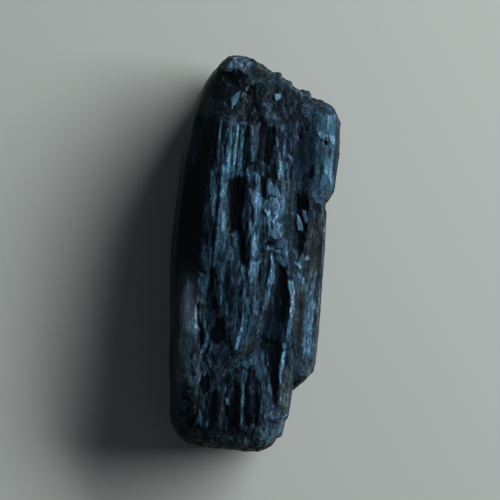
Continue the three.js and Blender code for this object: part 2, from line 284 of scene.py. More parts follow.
# Broad areas of the front: colour, strength, roughness, width and middle line. Later ones lie over earlier
# ones.
AREAS = [
    # The trunk's ribbed upper left, its left fibres and its darker lower half.
    ("steel", 0.35, 0.42, 4.6, [(-2.4, 14.2), (-2.6, 7.6)]),
    ("steel", 0.65, 0.42, 2.6, [(-3.6, 9.0), (-3.8, -1.8)]),
    ("navy", 0.35, 0.42, 4.6, [(-2.0, -1.0), (-1.8, -12.0)]),
    # The broken oblique end.
    ("grey", 0.45, 0.63, 2.0, [(-4.4, 19.9), (-2.6, 20.4), (-0.9, 20.1)]),
    ("olive", 0.80, 0.63, 0.8, [(-1.0, 20.1), (2.0, 19.1), (5.6, 17.2)]),
    # The pale fibres, the knot and the middle bundle.
    ("lavender", 0.40, 0.50, 2.0, [(2.8, 13.2), (2.9, 8.0), (3.3, 4.4)]),
    ("teal", 0.60, 0.48, 2.8, [(2.0, 7.8), (2.3, 3.0)]),
    ("steel", 0.75, 0.44, 1.8, [(0.0, 8.8), (0.4, 3.0), (0.8, -4.0)]),
    ("slate", 0.70, 0.50, 2.6, [(1.8, 1.0), (1.8, -4.0)]),
    ("steel", 0.35, 0.48, 2.6, [(0.4, -4.0), (0.4, -10.5)]),
    # The smooth facet left of the upper column, and both columns.
    ("navy", 0.85, 0.32, 2.4, [(5.1, 14.4), (5.1, 6.8)]),
    ("lavender", 0.35, 0.38, 1.6, [(4.2, 16.2), (6.0, 15.8), (8.2, 15.4)]),
    ("teal", 0.60, 0.44, 2.4, [(7.2, 15.4), (7.2, 5.8)]),
    ("slate", 0.85, 0.58, 0.9, [(8.3, 16.0), (8.6, 14.0), (8.7, 8.0)]),
    ("olive", 0.80, 0.54, 2.6, [(7.4, 5.4), (7.4, -13.6)]),
    ("lavender", 0.50, 0.46, 1.0, [(7.2, -1.0), (7.5, -11.5)]),
    ("grey", 0.40, 0.60, 0.5, [(8.0, 5.0), (8.2, -4.0), (8.4, -12.0)]),
    # The smooth shoulder at the lower left, lightened as painted highlight, the worn lower end and the dark
    # wedge above it.
    ("grey", 0.55, 0.63, 3.4, [(-5.8, -2.2), (-5.6, -14.0)]),
    ("grey", 0.80, 0.63, 3.6, [(-5.2, -10.5), (-5.0, -18.5)]),
    ("lavender", 0.75, 0.60, 4.2, [(3.8, -13.5), (3.8, -20.4)]),
    ("navy", 0.60, 0.48, 2.6, [(2.2, -10.5), (2.3, -17.0)]),
    ("olive", 0.60, 0.63, 1.4, [(5.7, -11.5), (5.6, -18.4)]),
    ("navy", 0.90, 0.38, 2.8, [(3.9, -0.8), (3.7, -9.8)]),
    ("ink", 0.40, 0.53, 2.0, [(-5.4, -19.4), (1.0, -19.6)]),
    ("grey", 0.90, 0.63, 2.2, [(1.0, -20.2), (4.4, -19.6), (5.6, -17.8)]),
    ("ink", 0.30, 0.53, 3.6, [(-1.4, -13.0), (-1.0, -19.0)]),
    # The black of the broken end, the black of the left rim, which is painted shade beside the shaded flank,
    # and the worn edge beside the tip.
    ("ink", 0.90, 0.42, 5.4, [(-5.0, 18.0), (-0.6, 16.8), (3.2, 16.4)]),
    ("ink", 0.80, 0.42, 1.8, [(-6.3, 15.0), (-6.3, 8.0), (-6.2, -0.6)]),
    ("olive", 0.60, 0.58, 1.6, [(-5.4, 19.0), (-6.2, 14.6)]),
    # The pale painted highlight over the shoulder.
    ("grey", 0.70, 0.58, 1.8, [(-5.5, -1.6), (-5.4, -6.6), (-5.0, -13.6)]),
    ("pearl", 0.55, 0.58, 1.5, [(-5.3, -2.4), (-5.2, -6.6), (-5.0, -10.6)]),
    ("shoulder_highlight", 1.00, 0.58, 2.0, [(-5.4, -3.2), (-5.1, -5.6), (-4.9, -9.2)]),
    ("grey", 0.80, 0.58, 1.8, [(-5.2, -8.6), (-4.7, -11.6), (-4.5, -15.4)]),
    ("shoulder_highlight", 0.20, 0.58, 2.6, [(-5.6, -9.4), (-5.4, -14.2)]),
]

# The weak painted violet sheen on the upper left flank, and the smooth shoulder at the lower left: width and
# middle line.
FLANK_SHEEN = [(2.4, [(-6.5, 13.0), (-6.6, 8.8)])]
SHOULDER = [(4.2, [(-6.4, -1.2), (-6.3, -8.0), (-6.2, -17.0)])]

# Where the front is broken or worn to a grain instead of running in fibres: width and middle line.
GRAINY = [
    (5.4, [(-6.0, 18.6), (-1.0, 17.0), (4.0, 16.2)]),
    (3.6, [(4.2, -15.4), (4.0, -19.0)]),
    (2.8, [(-5.0, -19.8), (1.0, -19.9), (4.4, -19.8)]),
    (2.8, [(-5.9, 18.8), (-6.2, 14.4)]),
    (4.4, [(-5.4, 15.8), (4.0, 15.2)]),
    (4.4, [(-5.4, -11.4), (-5.4, -18.8)]),
]

# The outline of the worn corner at the lower right, which has two patches.
WORN_CORNER = [(3.0, -17.2), (4.4, -16.0), (5.6, -16.8), (5.9, -18.0), (4.8, -19.6), (2.4, -19.4)]

# Outlined patches of the front, laid over the areas: colour, strength and corners. Pale patches are partly
# painted sheen where flakes catch the light, and black patches in hollows, cavities and slots are partly
# painted shade.
PATCHES = [
    # The tip's rough pale cap, and the broken end under it.
    ("ink", 0.90, [
        (-5.4, 19.0), (0.0, 19.2), (3.0, 18.0), (4.6, 16.6), (3.8, 14.2), (0.0, 13.6), (-5.0, 14.0),
    ]),
    ("grey", 0.40, [
        (-4.5, 20.2), (-3.8, 20.9), (-2.0, 21.0), (-1.2, 20.4), (-1.9, 19.0), (-3.4, 19.4), (-4.6, 19.4),
    ]),
    ("ink", 0.95, [(-5.3, 19.0), (-3.3, 19.4), (-2.4, 18.9), (-2.0, 18.2), (-3.6, 16.8), (-5.2, 17.0)]),
    ("frost", 0.55, [(-4.0, 19.9), (-3.5, 20.1), (-3.3, 19.7), (-3.7, 19.3)]),
    ("pearl", 0.65, [(-2.8, 20.5), (-2.5, 20.5), (-2.4, 20.0), (-2.7, 19.5)]),
    ("pearl", 0.70, [(-2.0, 20.5), (-1.6, 20.6), (-1.3, 20.1), (-1.8, 20.0)]),
    ("pearl", 0.70, [(-2.3, 19.5), (-2.0, 19.6), (-2.0, 19.0), (-2.2, 19.0)]),
    ("navy", 0.80, [(-4.2, 20.3), (-3.6, 20.7), (-3.5, 20.3), (-4.0, 20.0)]),
    ("slate", 0.30, [
        (-0.2, 19.6), (1.8, 19.2), (2.6, 18.4), (2.2, 17.4), (1.0, 17.6), (0.2, 16.0), (-0.3, 17.6),
    ]),
    ("olive", 0.80, [(-1.0, 20.1), (0.3, 19.8), (1.4, 19.1), (0.2, 18.8), (-0.8, 19.3)]),
    ("grey", 0.70, [
        (0.3, 19.8), (1.6, 19.6), (3.4, 18.2), (5.0, 17.4), (4.7, 17.1), (3.2, 17.8), (1.4, 19.2),
    ]),
    ("grey", 0.50, [(-1.4, 18.9), (-0.6, 18.8), (-0.7, 18.2), (-1.2, 18.0)]),
    ("ink", 1.00, [
        (-2.0, 16.2), (-1.4, 17.8), (-0.9, 17.9), (-0.7, 16.6), (0.2, 14.6), (-1.4, 13.7), (-2.7, 14.6),
    ]),
    ("ink", 0.95, [(1.1, 18.0), (2.3, 18.0), (2.5, 17.0), (2.2, 16.0), (1.5, 16.0), (1.2, 17.2)]),
    ("steel", 0.45, [
        (0.2, 16.2), (1.3, 16.3), (1.45, 15.2), (2.2, 14.6), (2.0, 13.6), (0.6, 14.0), (0.6, 15.2),
    ]),
    ("navy", 0.80, [
        (1.5, 15.5), (2.3, 15.4), (2.9, 16.9), (3.6, 16.8), (3.1, 15.0), (2.8, 14.2), (2.1, 14.8),
    ]),
    ("ink", 0.85, [
        (3.6, 16.3), (5.0, 15.1), (4.2, 14.2), (4.6, 12.9), (4.2, 12.7), (3.9, 14.2), (3.6, 15.2),
    ]),
    ("olive", 0.90, [(4.4, 15.1), (5.4, 14.7), (5.5, 13.6), (5.1, 13.2), (4.5, 13.9)]),
    ("navy", 0.50, [(4.0, 16.6), (6.0, 16.8), (8.0, 16.0), (6.2, 15.0), (4.6, 15.2)]),
    ("lavender", 0.30, [(4.4, 16.3), (6.4, 16.2), (7.6, 15.8), (6.2, 15.4), (5.0, 15.4)]),
    # The ribs beside the smooth left flank, and the hollow that ends them.
    ("navy", 0.70, [(-4.5, 13.5), (-1.4, 13.5), (-1.3, 8.8), (-4.6, 8.8)]),
    ("ink", 0.80, [(-1.45, 13.5), (0.3, 13.4), (0.3, 8.8), (-1.3, 8.8)]),
    ("ink", 0.95, [(0.15, 14.2), (2.0, 13.4), (1.9, 11.0), (1.6, 9.7), (1.0, 9.6), (0.15, 9.9)]),
    ("pearl", 0.75, [
        (-4.1, 12.6), (-3.9, 13.5), (-3.75, 13.2), (-3.7, 12.0), (-3.35, 10.8), (-3.3, 8.4), (-4.2, 8.4),
    ]),
    ("teal", 0.85, [(-3.6, 12.5), (-3.4, 13.0), (-3.1, 12.9), (-3.3, 11.6), (-3.6, 11.4)]),
    ("teal", 0.85, [(-3.0, 12.3), (-2.75, 12.6), (-2.5, 12.4), (-2.6, 11.0), (-2.4, 8.4), (-3.1, 8.4)]),
    ("pearl", 0.75, [
        (-2.3, 13.3), (-2.05, 13.3), (-2.0, 11.0), (-2.1, 8.4), (-2.35, 8.4), (-2.5, 10.6), (-2.25, 11.4),
    ]),
    ("teal", 0.85, [
        (-1.8, 13.2), (-1.5, 13.0), (-1.35, 12.0), (-1.4, 8.2), (-1.8, 8.2), (-1.9, 10.4), (-1.65, 11.6),
    ]),
    ("steel", 0.80, [(-0.6, 12.4), (0.0, 12.6), (0.0, 11.0), (-0.1, 9.9), (-0.5, 9.9), (-0.65, 11.4)]),
    ("steel", 0.80, [(-0.9, 13.3), (-0.4, 13.4), (-0.3, 12.6), (-0.7, 12.5)]),
    # The pale fibres right of the hollow, and the black gaps round the teardrop.
    ("ink", 1.00, [(0.7, 8.4), (1.3, 8.2), (1.45, 7.2), (1.5, 6.2), (1.3, 5.9), (1.0, 6.3), (0.75, 7.4)]),
    ("ink", 0.95, [(1.2, 8.4), (2.2, 9.8), (2.4, 9.0), (2.9, 7.0), (3.0, 6.4), (2.7, 6.9), (1.8, 8.1)]),
    ("navy", 0.70, [
        (2.0, 6.3), (2.5, 6.4), (3.1, 6.0), (3.35, 5.2), (3.2, 4.2), (3.0, 4.4), (3.0, 5.4), (2.5, 6.0),
    ]),
    ("navy", 0.75, [(2.0, 13.4), (3.8, 13.4), (4.0, 8.0), (3.0, 8.0)]),
    ("pearl", 0.45, [(2.4, 10.0), (3.0, 9.9), (3.3, 8.6), (3.0, 8.2), (2.5, 8.8)]),
    # The teardrop, and the knot's two discs with their bright streak.
    ("teal", 0.80, [(0.9, 5.5), (1.5, 6.0), (1.6, 5.0), (1.9, 4.4), (1.5, 3.6), (1.1, 4.4)]),
    ("pearl", 0.85, [
        (1.1, 5.3), (1.5, 5.9), (2.1, 6.2), (2.7, 6.0), (3.1, 5.4), (3.1, 4.6), (2.7, 4.0), (1.6, 4.2),
    ]),
    ("pearl", 0.80, [(1.2, 5.0), (1.9, 4.9), (2.5, 3.9), (2.6, 3.3), (2.2, 3.0), (1.5, 3.6)]),
    ("slate", 0.80, [(1.9, 4.9), (2.4, 4.7), (2.75, 4.1), (2.3, 4.2)]),
    ("frost", 0.80, [(1.4, 5.0), (1.65, 5.0), (2.3, 4.0), (2.5, 3.3), (2.2, 3.3), (1.7, 4.1)]),
    ("pearl", 0.85, [(2.0, 3.4), (2.4, 3.5), (3.0, 3.6), (3.6, 3.1), (3.6, 2.2), (2.9, 1.9), (2.1, 2.1)]),
    ("slate", 0.80, [(2.3, 2.5), (3.0, 2.4), (3.5, 2.7), (3.4, 2.5), (2.9, 2.2)]),
    # The fan and the hooked crest under the knot.
    ("ink", 0.95, [(1.9, 1.5), (2.9, 1.6), (3.0, 1.2), (2.0, 1.15)]),
    ("steel", 0.90, [(3.2, 1.9), (4.1, 1.8), (4.3, 1.0), (4.4, 0.0), (4.3, -0.9), (3.6, -0.7), (3.0, 0.4)]),
    ("pearl", 0.90, [(3.9, 1.7), (4.2, 1.6), (4.4, 0.1), (4.1, 0.1), (3.9, 0.9)]),
    ("pearl", 0.95, [(1.9, 1.0), (2.5, 1.05), (2.8, 0.7), (2.4, 0.55), (2.0, 0.6)]),
    ("pearl", 0.95, [
        (2.6, 0.2), (3.0, 0.0), (3.2, -1.0), (3.3, -2.2), (2.9, -3.0), (2.5, -3.3), (2.7, -1.8),
    ]),
    ("slate", 0.70, [(1.5, -1.6), (2.6, -0.4), (2.6, -2.6), (2.0, -4.2), (1.4, -4.2)]),
    # The middle bundle: its joint, slots and pale flakes, from the top down.
    ("pearl", 0.80, [(-0.5, 6.8), (0.2, 6.9), (0.8, 6.4), (1.1, 5.7), (1.0, 5.0), (0.6, 5.0), (0.0, 5.5)]),
    ("navy", 0.90, [(0.15, 5.3), (0.4, 5.0), (0.6, 4.0), (0.5, 3.0), (0.25, 2.9), (0.2, 4.0)]),
    ("pearl", 0.80, [(-0.2, 5.2), (0.1, 5.2), (0.1, 4.0), (0.35, 2.6), (0.1, 2.2), (-0.2, 3.6)]),
    ("ink", 0.85, [(-0.5, 5.2), (-0.25, 5.2), (-0.2, 3.6), (0.0, 2.6), (-0.1, 2.2), (-0.4, 2.6)]),
    ("pearl", 0.95, [
        (0.3, 1.6), (0.6, 2.5), (1.0, 2.1), (1.1, 0.8), (0.9, -0.2), (0.4, -0.2), (0.15, 0.5),
    ]),
    ("slate", 0.80, [(1.25, 1.0), (1.6, 1.0), (1.6, -0.6), (1.3, -0.4)]),
    ("pearl", 0.95, [(0.4, -0.8), (1.5, -0.6), (1.5, -1.8), (1.2, -3.2), (0.8, -3.2), (0.4, -2.0)]),
    ("steel", 0.80, [(0.0, -3.0), (0.9, -3.4), (1.4, -3.4), (1.4, -4.2), (0.2, -4.2)]),
    ("pearl", 0.90, [(0.45, -4.4), (0.8, -4.3), (0.9, -5.4), (0.95, -6.3), (0.7, -6.2), (0.5, -5.4)]),
    ("steel", 0.80, [(0.1, -6.6), (1.2, -6.4), (1.35, -7.4), (1.1, -8.2), (0.1, -8.2)]),
    ("steel", 0.60, [(1.0, -5.0), (1.9, -4.4), (1.9, -5.4), (1.3, -6.2)]),
    ("teal", 0.90, [(-0.4, -8.2), (0.2, -8.0), (0.4, -8.8), (-0.1, -9.8), (-0.4, -9.2)]),
    ("slate", 0.80, [(0.0, -9.8), (1.9, -8.8), (2.0, -10.2), (1.0, -10.9), (-0.6, -11.4), (-0.9, -10.8)]),
    # The black hollow in the right, the splinter beside it and the flakes at its foot.
    ("ink", 1.00, [(4.6, 6.8), (5.7, 6.8), (6.0, 6.2), (6.0, 5.2), (5.3, 5.2), (5.0, 4.9), (4.7, 6.0)]),
    ("ink", 1.00, [(4.9, 4.9), (5.6, 5.3), (6.2, 4.3), (6.1, 3.0), (5.1, 2.9), (4.5, 3.8)]),
    ("ink", 0.95, [(4.5, 2.6), (6.2, 2.6), (6.4, 1.2), (6.3, 0.4), (5.6, 0.0), (4.9, 0.8), (4.4, 1.8)]),
    ("slate", 0.80, [(4.35, 1.8), (4.9, 1.4), (5.2, 0.6), (5.0, 0.1), (4.4, 0.0)]),
    ("pearl", 0.90, [(6.6, 5.4), (6.8, 5.3), (7.0, 4.5), (6.85, 4.4)]),
    ("frost", 0.80, [(6.2, 0.1), (6.4, 0.5), (6.7, 0.6), (6.7, 0.0), (6.4, -0.1)]),
    ("pearl", 0.90, [(5.4, -0.2), (5.8, -0.3), (6.05, -0.9), (5.7, -0.9)]),
    ("teal", 0.80, [(5.5, -1.5), (6.1, -1.4), (6.5, -2.4), (6.3, -3.0), (5.9, -2.4)]),
    # The smooth facet, and the upper column beside it.
    ("navy", 0.60, [
        (4.1, 12.4), (5.3, 13.1), (6.1, 13.9), (6.2, 12.2),
        (6.35, 10.4), (5.9, 9.0), (5.2, 9.8), (4.2, 10.4),
    ]),
    ("slate", 0.60, [(4.1, 10.3), (5.4, 9.0), (5.9, 8.6), (5.9, 7.2), (4.4, 6.9), (4.0, 8.6)]),
    ("grey", 0.60, [(5.2, 9.8), (5.6, 9.7), (5.7, 9.4), (5.4, 9.4)]),
    ("ink", 0.85, [(5.9, 9.9), (6.3, 9.8), (6.3, 8.8), (6.0, 8.6)]),
    ("teal", 0.60, [
        (6.2, 15.6), (8.1, 15.6), (8.2, 12.0), (8.5, 7.4), (7.6, 6.2), (6.2, 6.6), (6.4, 9.6), (6.2, 12.2),
    ]),
    ("frost", 0.60, [(7.15, 15.4), (7.5, 15.5), (7.6, 14.8), (7.4, 14.0), (7.2, 13.6), (7.2, 14.6)]),
    ("ink", 0.70, [(7.05, 15.0), (7.2, 15.0), (7.15, 13.8), (7.0, 13.8)]),
    ("slate", 0.70, [(6.3, 15.0), (6.5, 14.9), (6.6, 14.0), (6.35, 13.9)]),
    ("pearl", 0.90, [(6.3, 13.8), (7.0, 13.9), (7.2, 13.1), (6.8, 12.9), (6.3, 13.0)]),
    ("ink", 1.00, [(7.1, 12.85), (7.45, 13.3), (7.5, 12.6), (7.3, 12.4), (7.1, 12.5)]),
    ("frost", 0.70, [(6.7, 12.75), (7.05, 12.8), (7.05, 12.4), (6.8, 12.35)]),
    ("pearl", 0.80, [(7.5, 13.3), (8.0, 13.3), (8.3, 12.9), (8.3, 12.5), (8.0, 12.7), (7.5, 12.5)]),
    ("steel", 0.80, [(6.9, 12.2), (7.2, 12.2), (7.2, 11.0), (6.9, 10.8)]),
    ("ink", 1.00, [(7.65, 11.8), (7.85, 11.7), (7.8, 11.0), (7.65, 11.1)]),
    ("pearl", 0.85, [(7.3, 10.1), (8.2, 10.4), (8.3, 9.2), (8.65, 8.0), (8.2, 8.2), (7.4, 9.4)]),
    ("frost", 0.60, [(6.4, 9.8), (6.8, 10.2), (6.85, 9.2), (6.7, 8.9), (6.5, 9.2)]),
    ("navy", 0.80, [(7.1, 10.0), (7.3, 9.9), (7.3, 8.8), (7.1, 8.6)]),
    ("slate", 0.75, [(7.8, 8.6), (8.2, 8.3), (8.1, 7.6), (7.7, 7.8)]),
    ("slate", 0.75, [(6.8, 8.6), (7.05, 8.4), (7.0, 7.0), (6.8, 7.2)]),
    ("ink", 0.80, [(7.05, 7.3), (7.3, 7.3), (7.3, 6.8), (7.05, 6.8)]),
    ("slate", 0.85, [
        (8.2, 15.8), (8.6, 15.0), (8.8, 12.0), (8.8, 8.4), (8.4, 9.0), (8.4, 11.6), (8.15, 14.6),
    ]),
    ("ink", 0.95, [(6.4, 6.1), (7.2, 6.0), (7.6, 5.3), (7.0, 5.2), (6.6, 5.6)]),
    # The left fibres, the narrow black cavity and its tails.
    ("ink", 1.00, [
        (-2.6, 7.6), (-0.9, 8.4), (-0.7, 7.2), (-1.0, 3.4),
        (-0.6, 2.4), (-2.2, 1.9), (-2.3, 4.8), (-2.7, 6.2),
    ]),
    ("ink", 0.90, [(-1.9, 1.8), (-1.4, 1.7), (-1.4, 0.6), (-1.8, 0.5)]),
    ("ink", 0.95, [
        (-0.7, 1.3), (-0.4, 1.2), (0.0, 0.6), (0.15, -0.8), (0.1, -1.6), (-0.4, -0.6), (-0.7, 0.4),
    ]),
    ("teal", 0.75, [
        (-4.6, 8.6), (-4.0, 8.6), (-3.9, 6.6), (-3.6, 5.0), (-3.6, 2.0), (-4.0, 3.4), (-4.6, 6.8),
    ]),
    ("pearl", 0.60, [(-4.3, 5.9), (-3.8, 5.9), (-3.7, 4.4), (-3.95, 3.6), (-4.2, 4.6)]),
    ("teal", 0.80, [(-3.6, 7.2), (-2.9, 7.3), (-2.7, 6.4), (-2.9, 5.6), (-3.4, 6.0)]),
    ("pearl", 0.85, [(-3.0, 4.3), (-2.7, 4.2), (-2.5, 3.2), (-2.4, 2.1), (-2.9, 2.2), (-3.1, 3.2)]),
    ("lavender", 0.80, [(-2.9, 5.2), (-2.5, 5.2), (-2.45, 4.7), (-2.7, 4.6)]),
    ("navy", 0.90, [(-3.6, 5.7), (-3.4, 5.7), (-3.35, 4.3), (-3.7, 4.0)]),
    ("ink", 0.80, [(-3.6, 3.0), (-3.4, 2.6), (-3.4, 0.0), (-3.65, 0.2), (-3.7, 1.8)]),
    ("ink", 0.70, [(-4.6, 2.2), (-4.1, 2.0), (-4.0, 1.2), (-4.5, 1.2)]),
    ("steel", 0.80, [(-3.3, 1.9), (-2.3, 1.9), (-2.2, 0.4), (-2.6, -0.2), (-3.3, 0.2)]),
    ("teal", 0.70, [(-3.5, 0.0), (-3.2, 0.0), (-3.0, -1.4), (-3.4, -1.4)]),
    ("teal", 0.80, [(-1.7, 0.2), (-1.4, 0.3), (-1.2, -0.9), (-1.5, -0.9)]),
    ("grey", 0.70, [(-1.4, 1.5), (-1.1, 1.2), (-1.0, 0.5), (-1.3, 0.6)]),
    # The lower left: dark fibres round two black holes.
    ("ink", 0.85, [(-3.7, -2.0), (-3.0, -2.0), (-2.9, -4.4), (-3.7, -5.0), (-3.6, -3.4)]),
    ("ink", 0.80, [(-3.6, -5.0), (-2.9, -5.2), (-2.2, -5.8), (-2.6, -6.6), (-3.4, -6.4)]),
    ("steel", 0.70, [(-2.8, -1.2), (-2.0, -1.2), (-2.0, -3.0), (-2.7, -3.2)]),
    ("teal", 0.80, [(-2.6, -3.4), (-2.2, -3.6), (-1.9, -4.6), (-2.1, -5.4), (-2.4, -4.6)]),
    ("lavender", 0.60, [(-1.7, -5.2), (-1.4, -5.2), (-1.1, -6.8), (-1.4, -6.8)]),
    ("steel", 0.80, [(-0.7, -5.4), (-0.2, -5.4), (-0.1, -7.4), (-0.6, -7.4)]),
    ("ink", 0.90, [
        (-0.3, -2.2), (0.0, -2.8), (0.2, -5.0), (0.1, -7.2), (-0.1, -7.0), (-0.1, -5.0), (-0.3, -3.6),
    ]),
    ("teal", 0.90, [(-0.4, -1.4), (-0.1, -1.4), (0.15, -2.6), (-0.1, -2.9)]),
    ("ink", 1.00, [
        (-2.5, -7.0), (-1.6, -6.8), (-1.3, -8.2), (-1.5, -9.4), (-2.4, -10.0), (-2.9, -9.2), (-2.8, -8.0),
    ]),
    # The smooth shoulder, lightened as painted highlight, and the slot beside it, whose black is partly
    # painted shade.
    ("steel", 0.70, [
        (-5.6, -2.5), (-4.4, -2.4), (-3.7, -3.0), (-3.7, -5.0), (-4.1, -5.6), (-4.6, -4.8), (-5.4, -3.4),
    ]),
    ("pearl", 0.30, [
        (-6.3, -4.2), (-5.6, -4.2), (-4.7, -5.6), (-4.3, -9.6), (-4.4, -10.8), (-5.0, -10.4), (-6.0, -7.8),
    ]),
    ("shoulder_highlight", 0.80, [(-5.7, -3.3), (-5.0, -3.6), (-4.7, -5.2), (-4.8, -6.6), (-5.3, -6.8), (-5.9, -5.2)]),
    ("pearl", 0.70, [(-5.4, -2.7), (-5.05, -2.8), (-5.1, -3.6), (-5.35, -3.3)]),
    ("frost", 0.50, [(-4.8, -7.6), (-4.5, -8.0), (-4.2, -10.6), (-4.4, -10.4), (-4.7, -8.8)]),
    ("ink", 1.00, [
        (-4.7, -5.6), (-4.3, -5.6), (-4.2, -7.0), (-3.6, -8.4), (-3.4, -10.0), (-3.9, -10.3), (-4.3, -7.9),
    ]),
    ("teal", 0.80, [(-3.9, -7.4), (-3.5, -7.5), (-3.2, -8.6), (-3.0, -10.2), (-3.3, -10.2), (-3.5, -8.6)]),
    # The worn lower left.
    ("pearl", 0.45, [
        (-5.5, -12.0), (-4.4, -11.2), (-3.6, -11.4), (-3.5, -13.8),
        (-3.9, -14.2), (-4.6, -14.6), (-5.4, -13.8),
    ]),
    ("ink", 0.95, [
        (-3.5, -13.1), (-2.9, -13.0), (-2.4, -13.8), (-2.4, -14.9), (-3.3, -15.0), (-3.6, -14.0),
    ]),
    ("slate", 0.80, [
        (-4.0, -15.2), (-2.9, -15.4), (-2.9, -16.4), (-3.6, -17.2), (-4.8, -17.8), (-5.0, -17.2),
    ]),
    ("ink", 0.90, [
        (-2.6, -15.0), (-1.5, -14.4), (-1.2, -16.0), (-1.2, -18.8), (-2.2, -18.6), (-2.4, -17.0),
    ]),
    ("ink", 0.90, [(-4.1, -17.6), (-3.7, -17.2), (-3.7, -18.8), (-4.2, -18.6)]),
    ("teal", 0.90, [(-2.7, -18.2), (-2.45, -18.1), (-2.35, -18.6), (-2.6, -18.6)]),
    ("grey", 0.70, [(-1.2, -15.0), (-0.95, -15.0), (-0.9, -18.6), (-1.15, -18.9)]),
    # The dark wedge and its ridges.
    ("ink", 0.90, [
        (3.3, -0.9), (4.3, -0.9), (4.8, -3.0), (5.0, -5.0),
        (4.9, -6.6), (4.5, -7.4), (3.5, -3.6), (3.35, -2.2),
    ]),
    ("navy", 0.85, [
        (2.8, -4.4), (3.4, -3.8), (4.0, -5.4), (4.4, -7.8), (4.2, -8.8), (2.4, -8.8), (2.5, -6.6),
    ]),
    ("lavender", 0.95, [(2.3, -3.4), (2.9, -3.2), (2.8, -4.6), (2.7, -5.6), (2.4, -5.8), (2.25, -4.6)]),
    ("teal", 0.80, [(3.15, -4.2), (3.3, -4.2), (3.45, -5.0), (3.3, -5.0)]),
    ("pearl", 0.90, [(4.7, -2.3), (5.2, -2.5), (5.4, -3.4), (5.0, -3.3)]),
    ("frost", 1.00, [
        (5.2, -3.2), (5.45, -3.3), (5.55, -4.4), (5.65, -5.6), (5.4, -6.0), (5.05, -5.6), (5.1, -4.2),
    ]),
    ("pearl", 0.90, [(5.1, -5.8), (5.7, -5.8), (5.6, -7.4), (5.3, -8.4), (5.0, -8.2)]),
    ("ink", 0.95, [
        (2.1, -8.9), (4.9, -8.9), (4.6, -12.6), (4.7, -14.8), (4.1, -14.6), (3.6, -12.6), (2.4, -9.9),
    ]),
    ("steel", 0.70, [(2.6, -9.8), (2.9, -9.8), (2.9, -11.0), (2.7, -11.0)]),
    ("pearl", 0.95, [(4.7, -9.8), (5.1, -9.7), (5.2, -11.2), (4.95, -12.9), (4.75, -12.8), (4.65, -11.2)]),
    ("grey", 0.80, [(4.8, -13.0), (5.0, -13.0), (4.95, -14.8), (4.8, -14.8)]),
    # The low column.
    ("olive", 0.80, [(5.7, -3.4), (6.2, -3.2), (6.5, -5.0), (6.6, -8.8), (6.1, -9.2), (5.8, -7.0)]),
    ("steel", 0.60, [(6.6, -2.4), (7.6, -2.0), (7.8, -6.0), (7.9, -10.0), (6.9, -10.5), (6.7, -6.0)]),
    ("teal", 0.55, [
        (6.8, -5.8), (7.4, -3.0), (7.7, -5.8), (7.9, -8.0), (7.8, -10.2), (7.4, -11.0), (7.0, -8.6),
    ]),
    ("navy", 0.70, [(5.9, -9.4), (6.8, -9.2), (7.0, -11.0), (6.6, -12.8), (6.0, -12.4)]),
    ("lavender", 0.50, [(6.8, -11.2), (7.9, -11.2), (7.8, -12.4), (7.0, -12.8)]),
    ("ink", 0.80, [(5.7, -8.7), (6.0, -8.7), (6.0, -9.3), (5.7, -9.2)]),
    # The lower end: the diagonal ridge, the long crest between two dark hollows, and the worn corner.
    ("ink", 0.95, [(0.1, -13.4), (0.7, -13.2), (1.0, -18.6), (-0.2, -18.8), (-0.7, -16.6), (-0.1, -15.4)]),
    ("ink", 0.90, [(1.5, -12.1), (2.2, -12.0), (2.5, -13.4), (2.3, -14.6), (1.9, -14.4), (1.4, -13.2)]),
    ("ink", 0.90, [(1.4, -14.6), (2.6, -14.8), (2.9, -16.4), (2.9, -18.0), (1.6, -18.0), (1.3, -16.2)]),
    ("steel", 0.80, [
        (2.1, -10.0), (2.5, -11.6), (3.3, -13.4), (4.0, -16.6), (3.2, -17.0), (2.9, -15.0), (1.9, -10.8),
    ]),
    ("lavender", 0.80, [(3.2, -13.2), (3.5, -13.6), (4.0, -16.6), (3.7, -17.6), (3.3, -15.4)]),
    ("pearl", 0.90, [
        (1.8, -10.6), (1.8, -11.4), (1.5, -11.9), (0.8, -12.1), (0.5, -11.8), (0.9, -11.3), (1.4, -11.0),
    ]),
    ("pearl", 0.85, [
        (0.7, -12.2), (1.3, -12.3), (1.25, -14.2), (1.2, -16.2), (1.45, -18.1), (1.15, -18.2), (0.8, -14.0),
    ]),
    ("steel", 0.80, [(-0.6, -12.4), (-0.2, -12.2), (0.3, -12.8), (0.0, -13.3), (-0.4, -13.0)]),
    ("grey", 0.80, [(-0.1, -14.1), (0.25, -14.2), (0.1, -14.6), (-0.2, -14.5)]),
    ("grey", 0.75, [
        (5.2, -11.4), (6.0, -12.0), (6.2, -14.0), (6.0, -16.4), (4.8, -16.6), (4.8, -15.0), (5.2, -13.4),
    ]),
    ("grey", 0.85, WORN_CORNER),
    ("pearl", 0.45, WORN_CORNER),
    ("frost", 0.90, [(5.3, -17.05), (5.8, -16.6), (6.2, -16.5), (6.1, -16.7), (5.5, -17.0)]),
    ("grey", 0.80, [(-4.4, -18.9), (-3.4, -18.8), (-2.4, -19.6), (-3.6, -19.8)]),
    ("grey", 0.80, [(-1.6, -19.2), (0.0, -19.0), (0.6, -19.9), (-1.0, -20.2)]),
    ("pearl", 0.80, [(1.6, -19.6), (1.9, -19.5), (2.0, -19.8), (1.7, -19.9)]),
    ("pearl", 0.70, [(0.6, -20.2), (0.9, -20.1), (0.9, -20.4), (0.7, -20.4)]),
    ("pearl", 0.70, [(-1.2, -19.5), (-0.9, -19.4), (-0.9, -19.7), (-1.1, -19.7)]),
    ("teal", 0.80, [(0.0, -19.6), (0.4, -19.4), (0.5, -19.7), (0.1, -19.9)]),
]

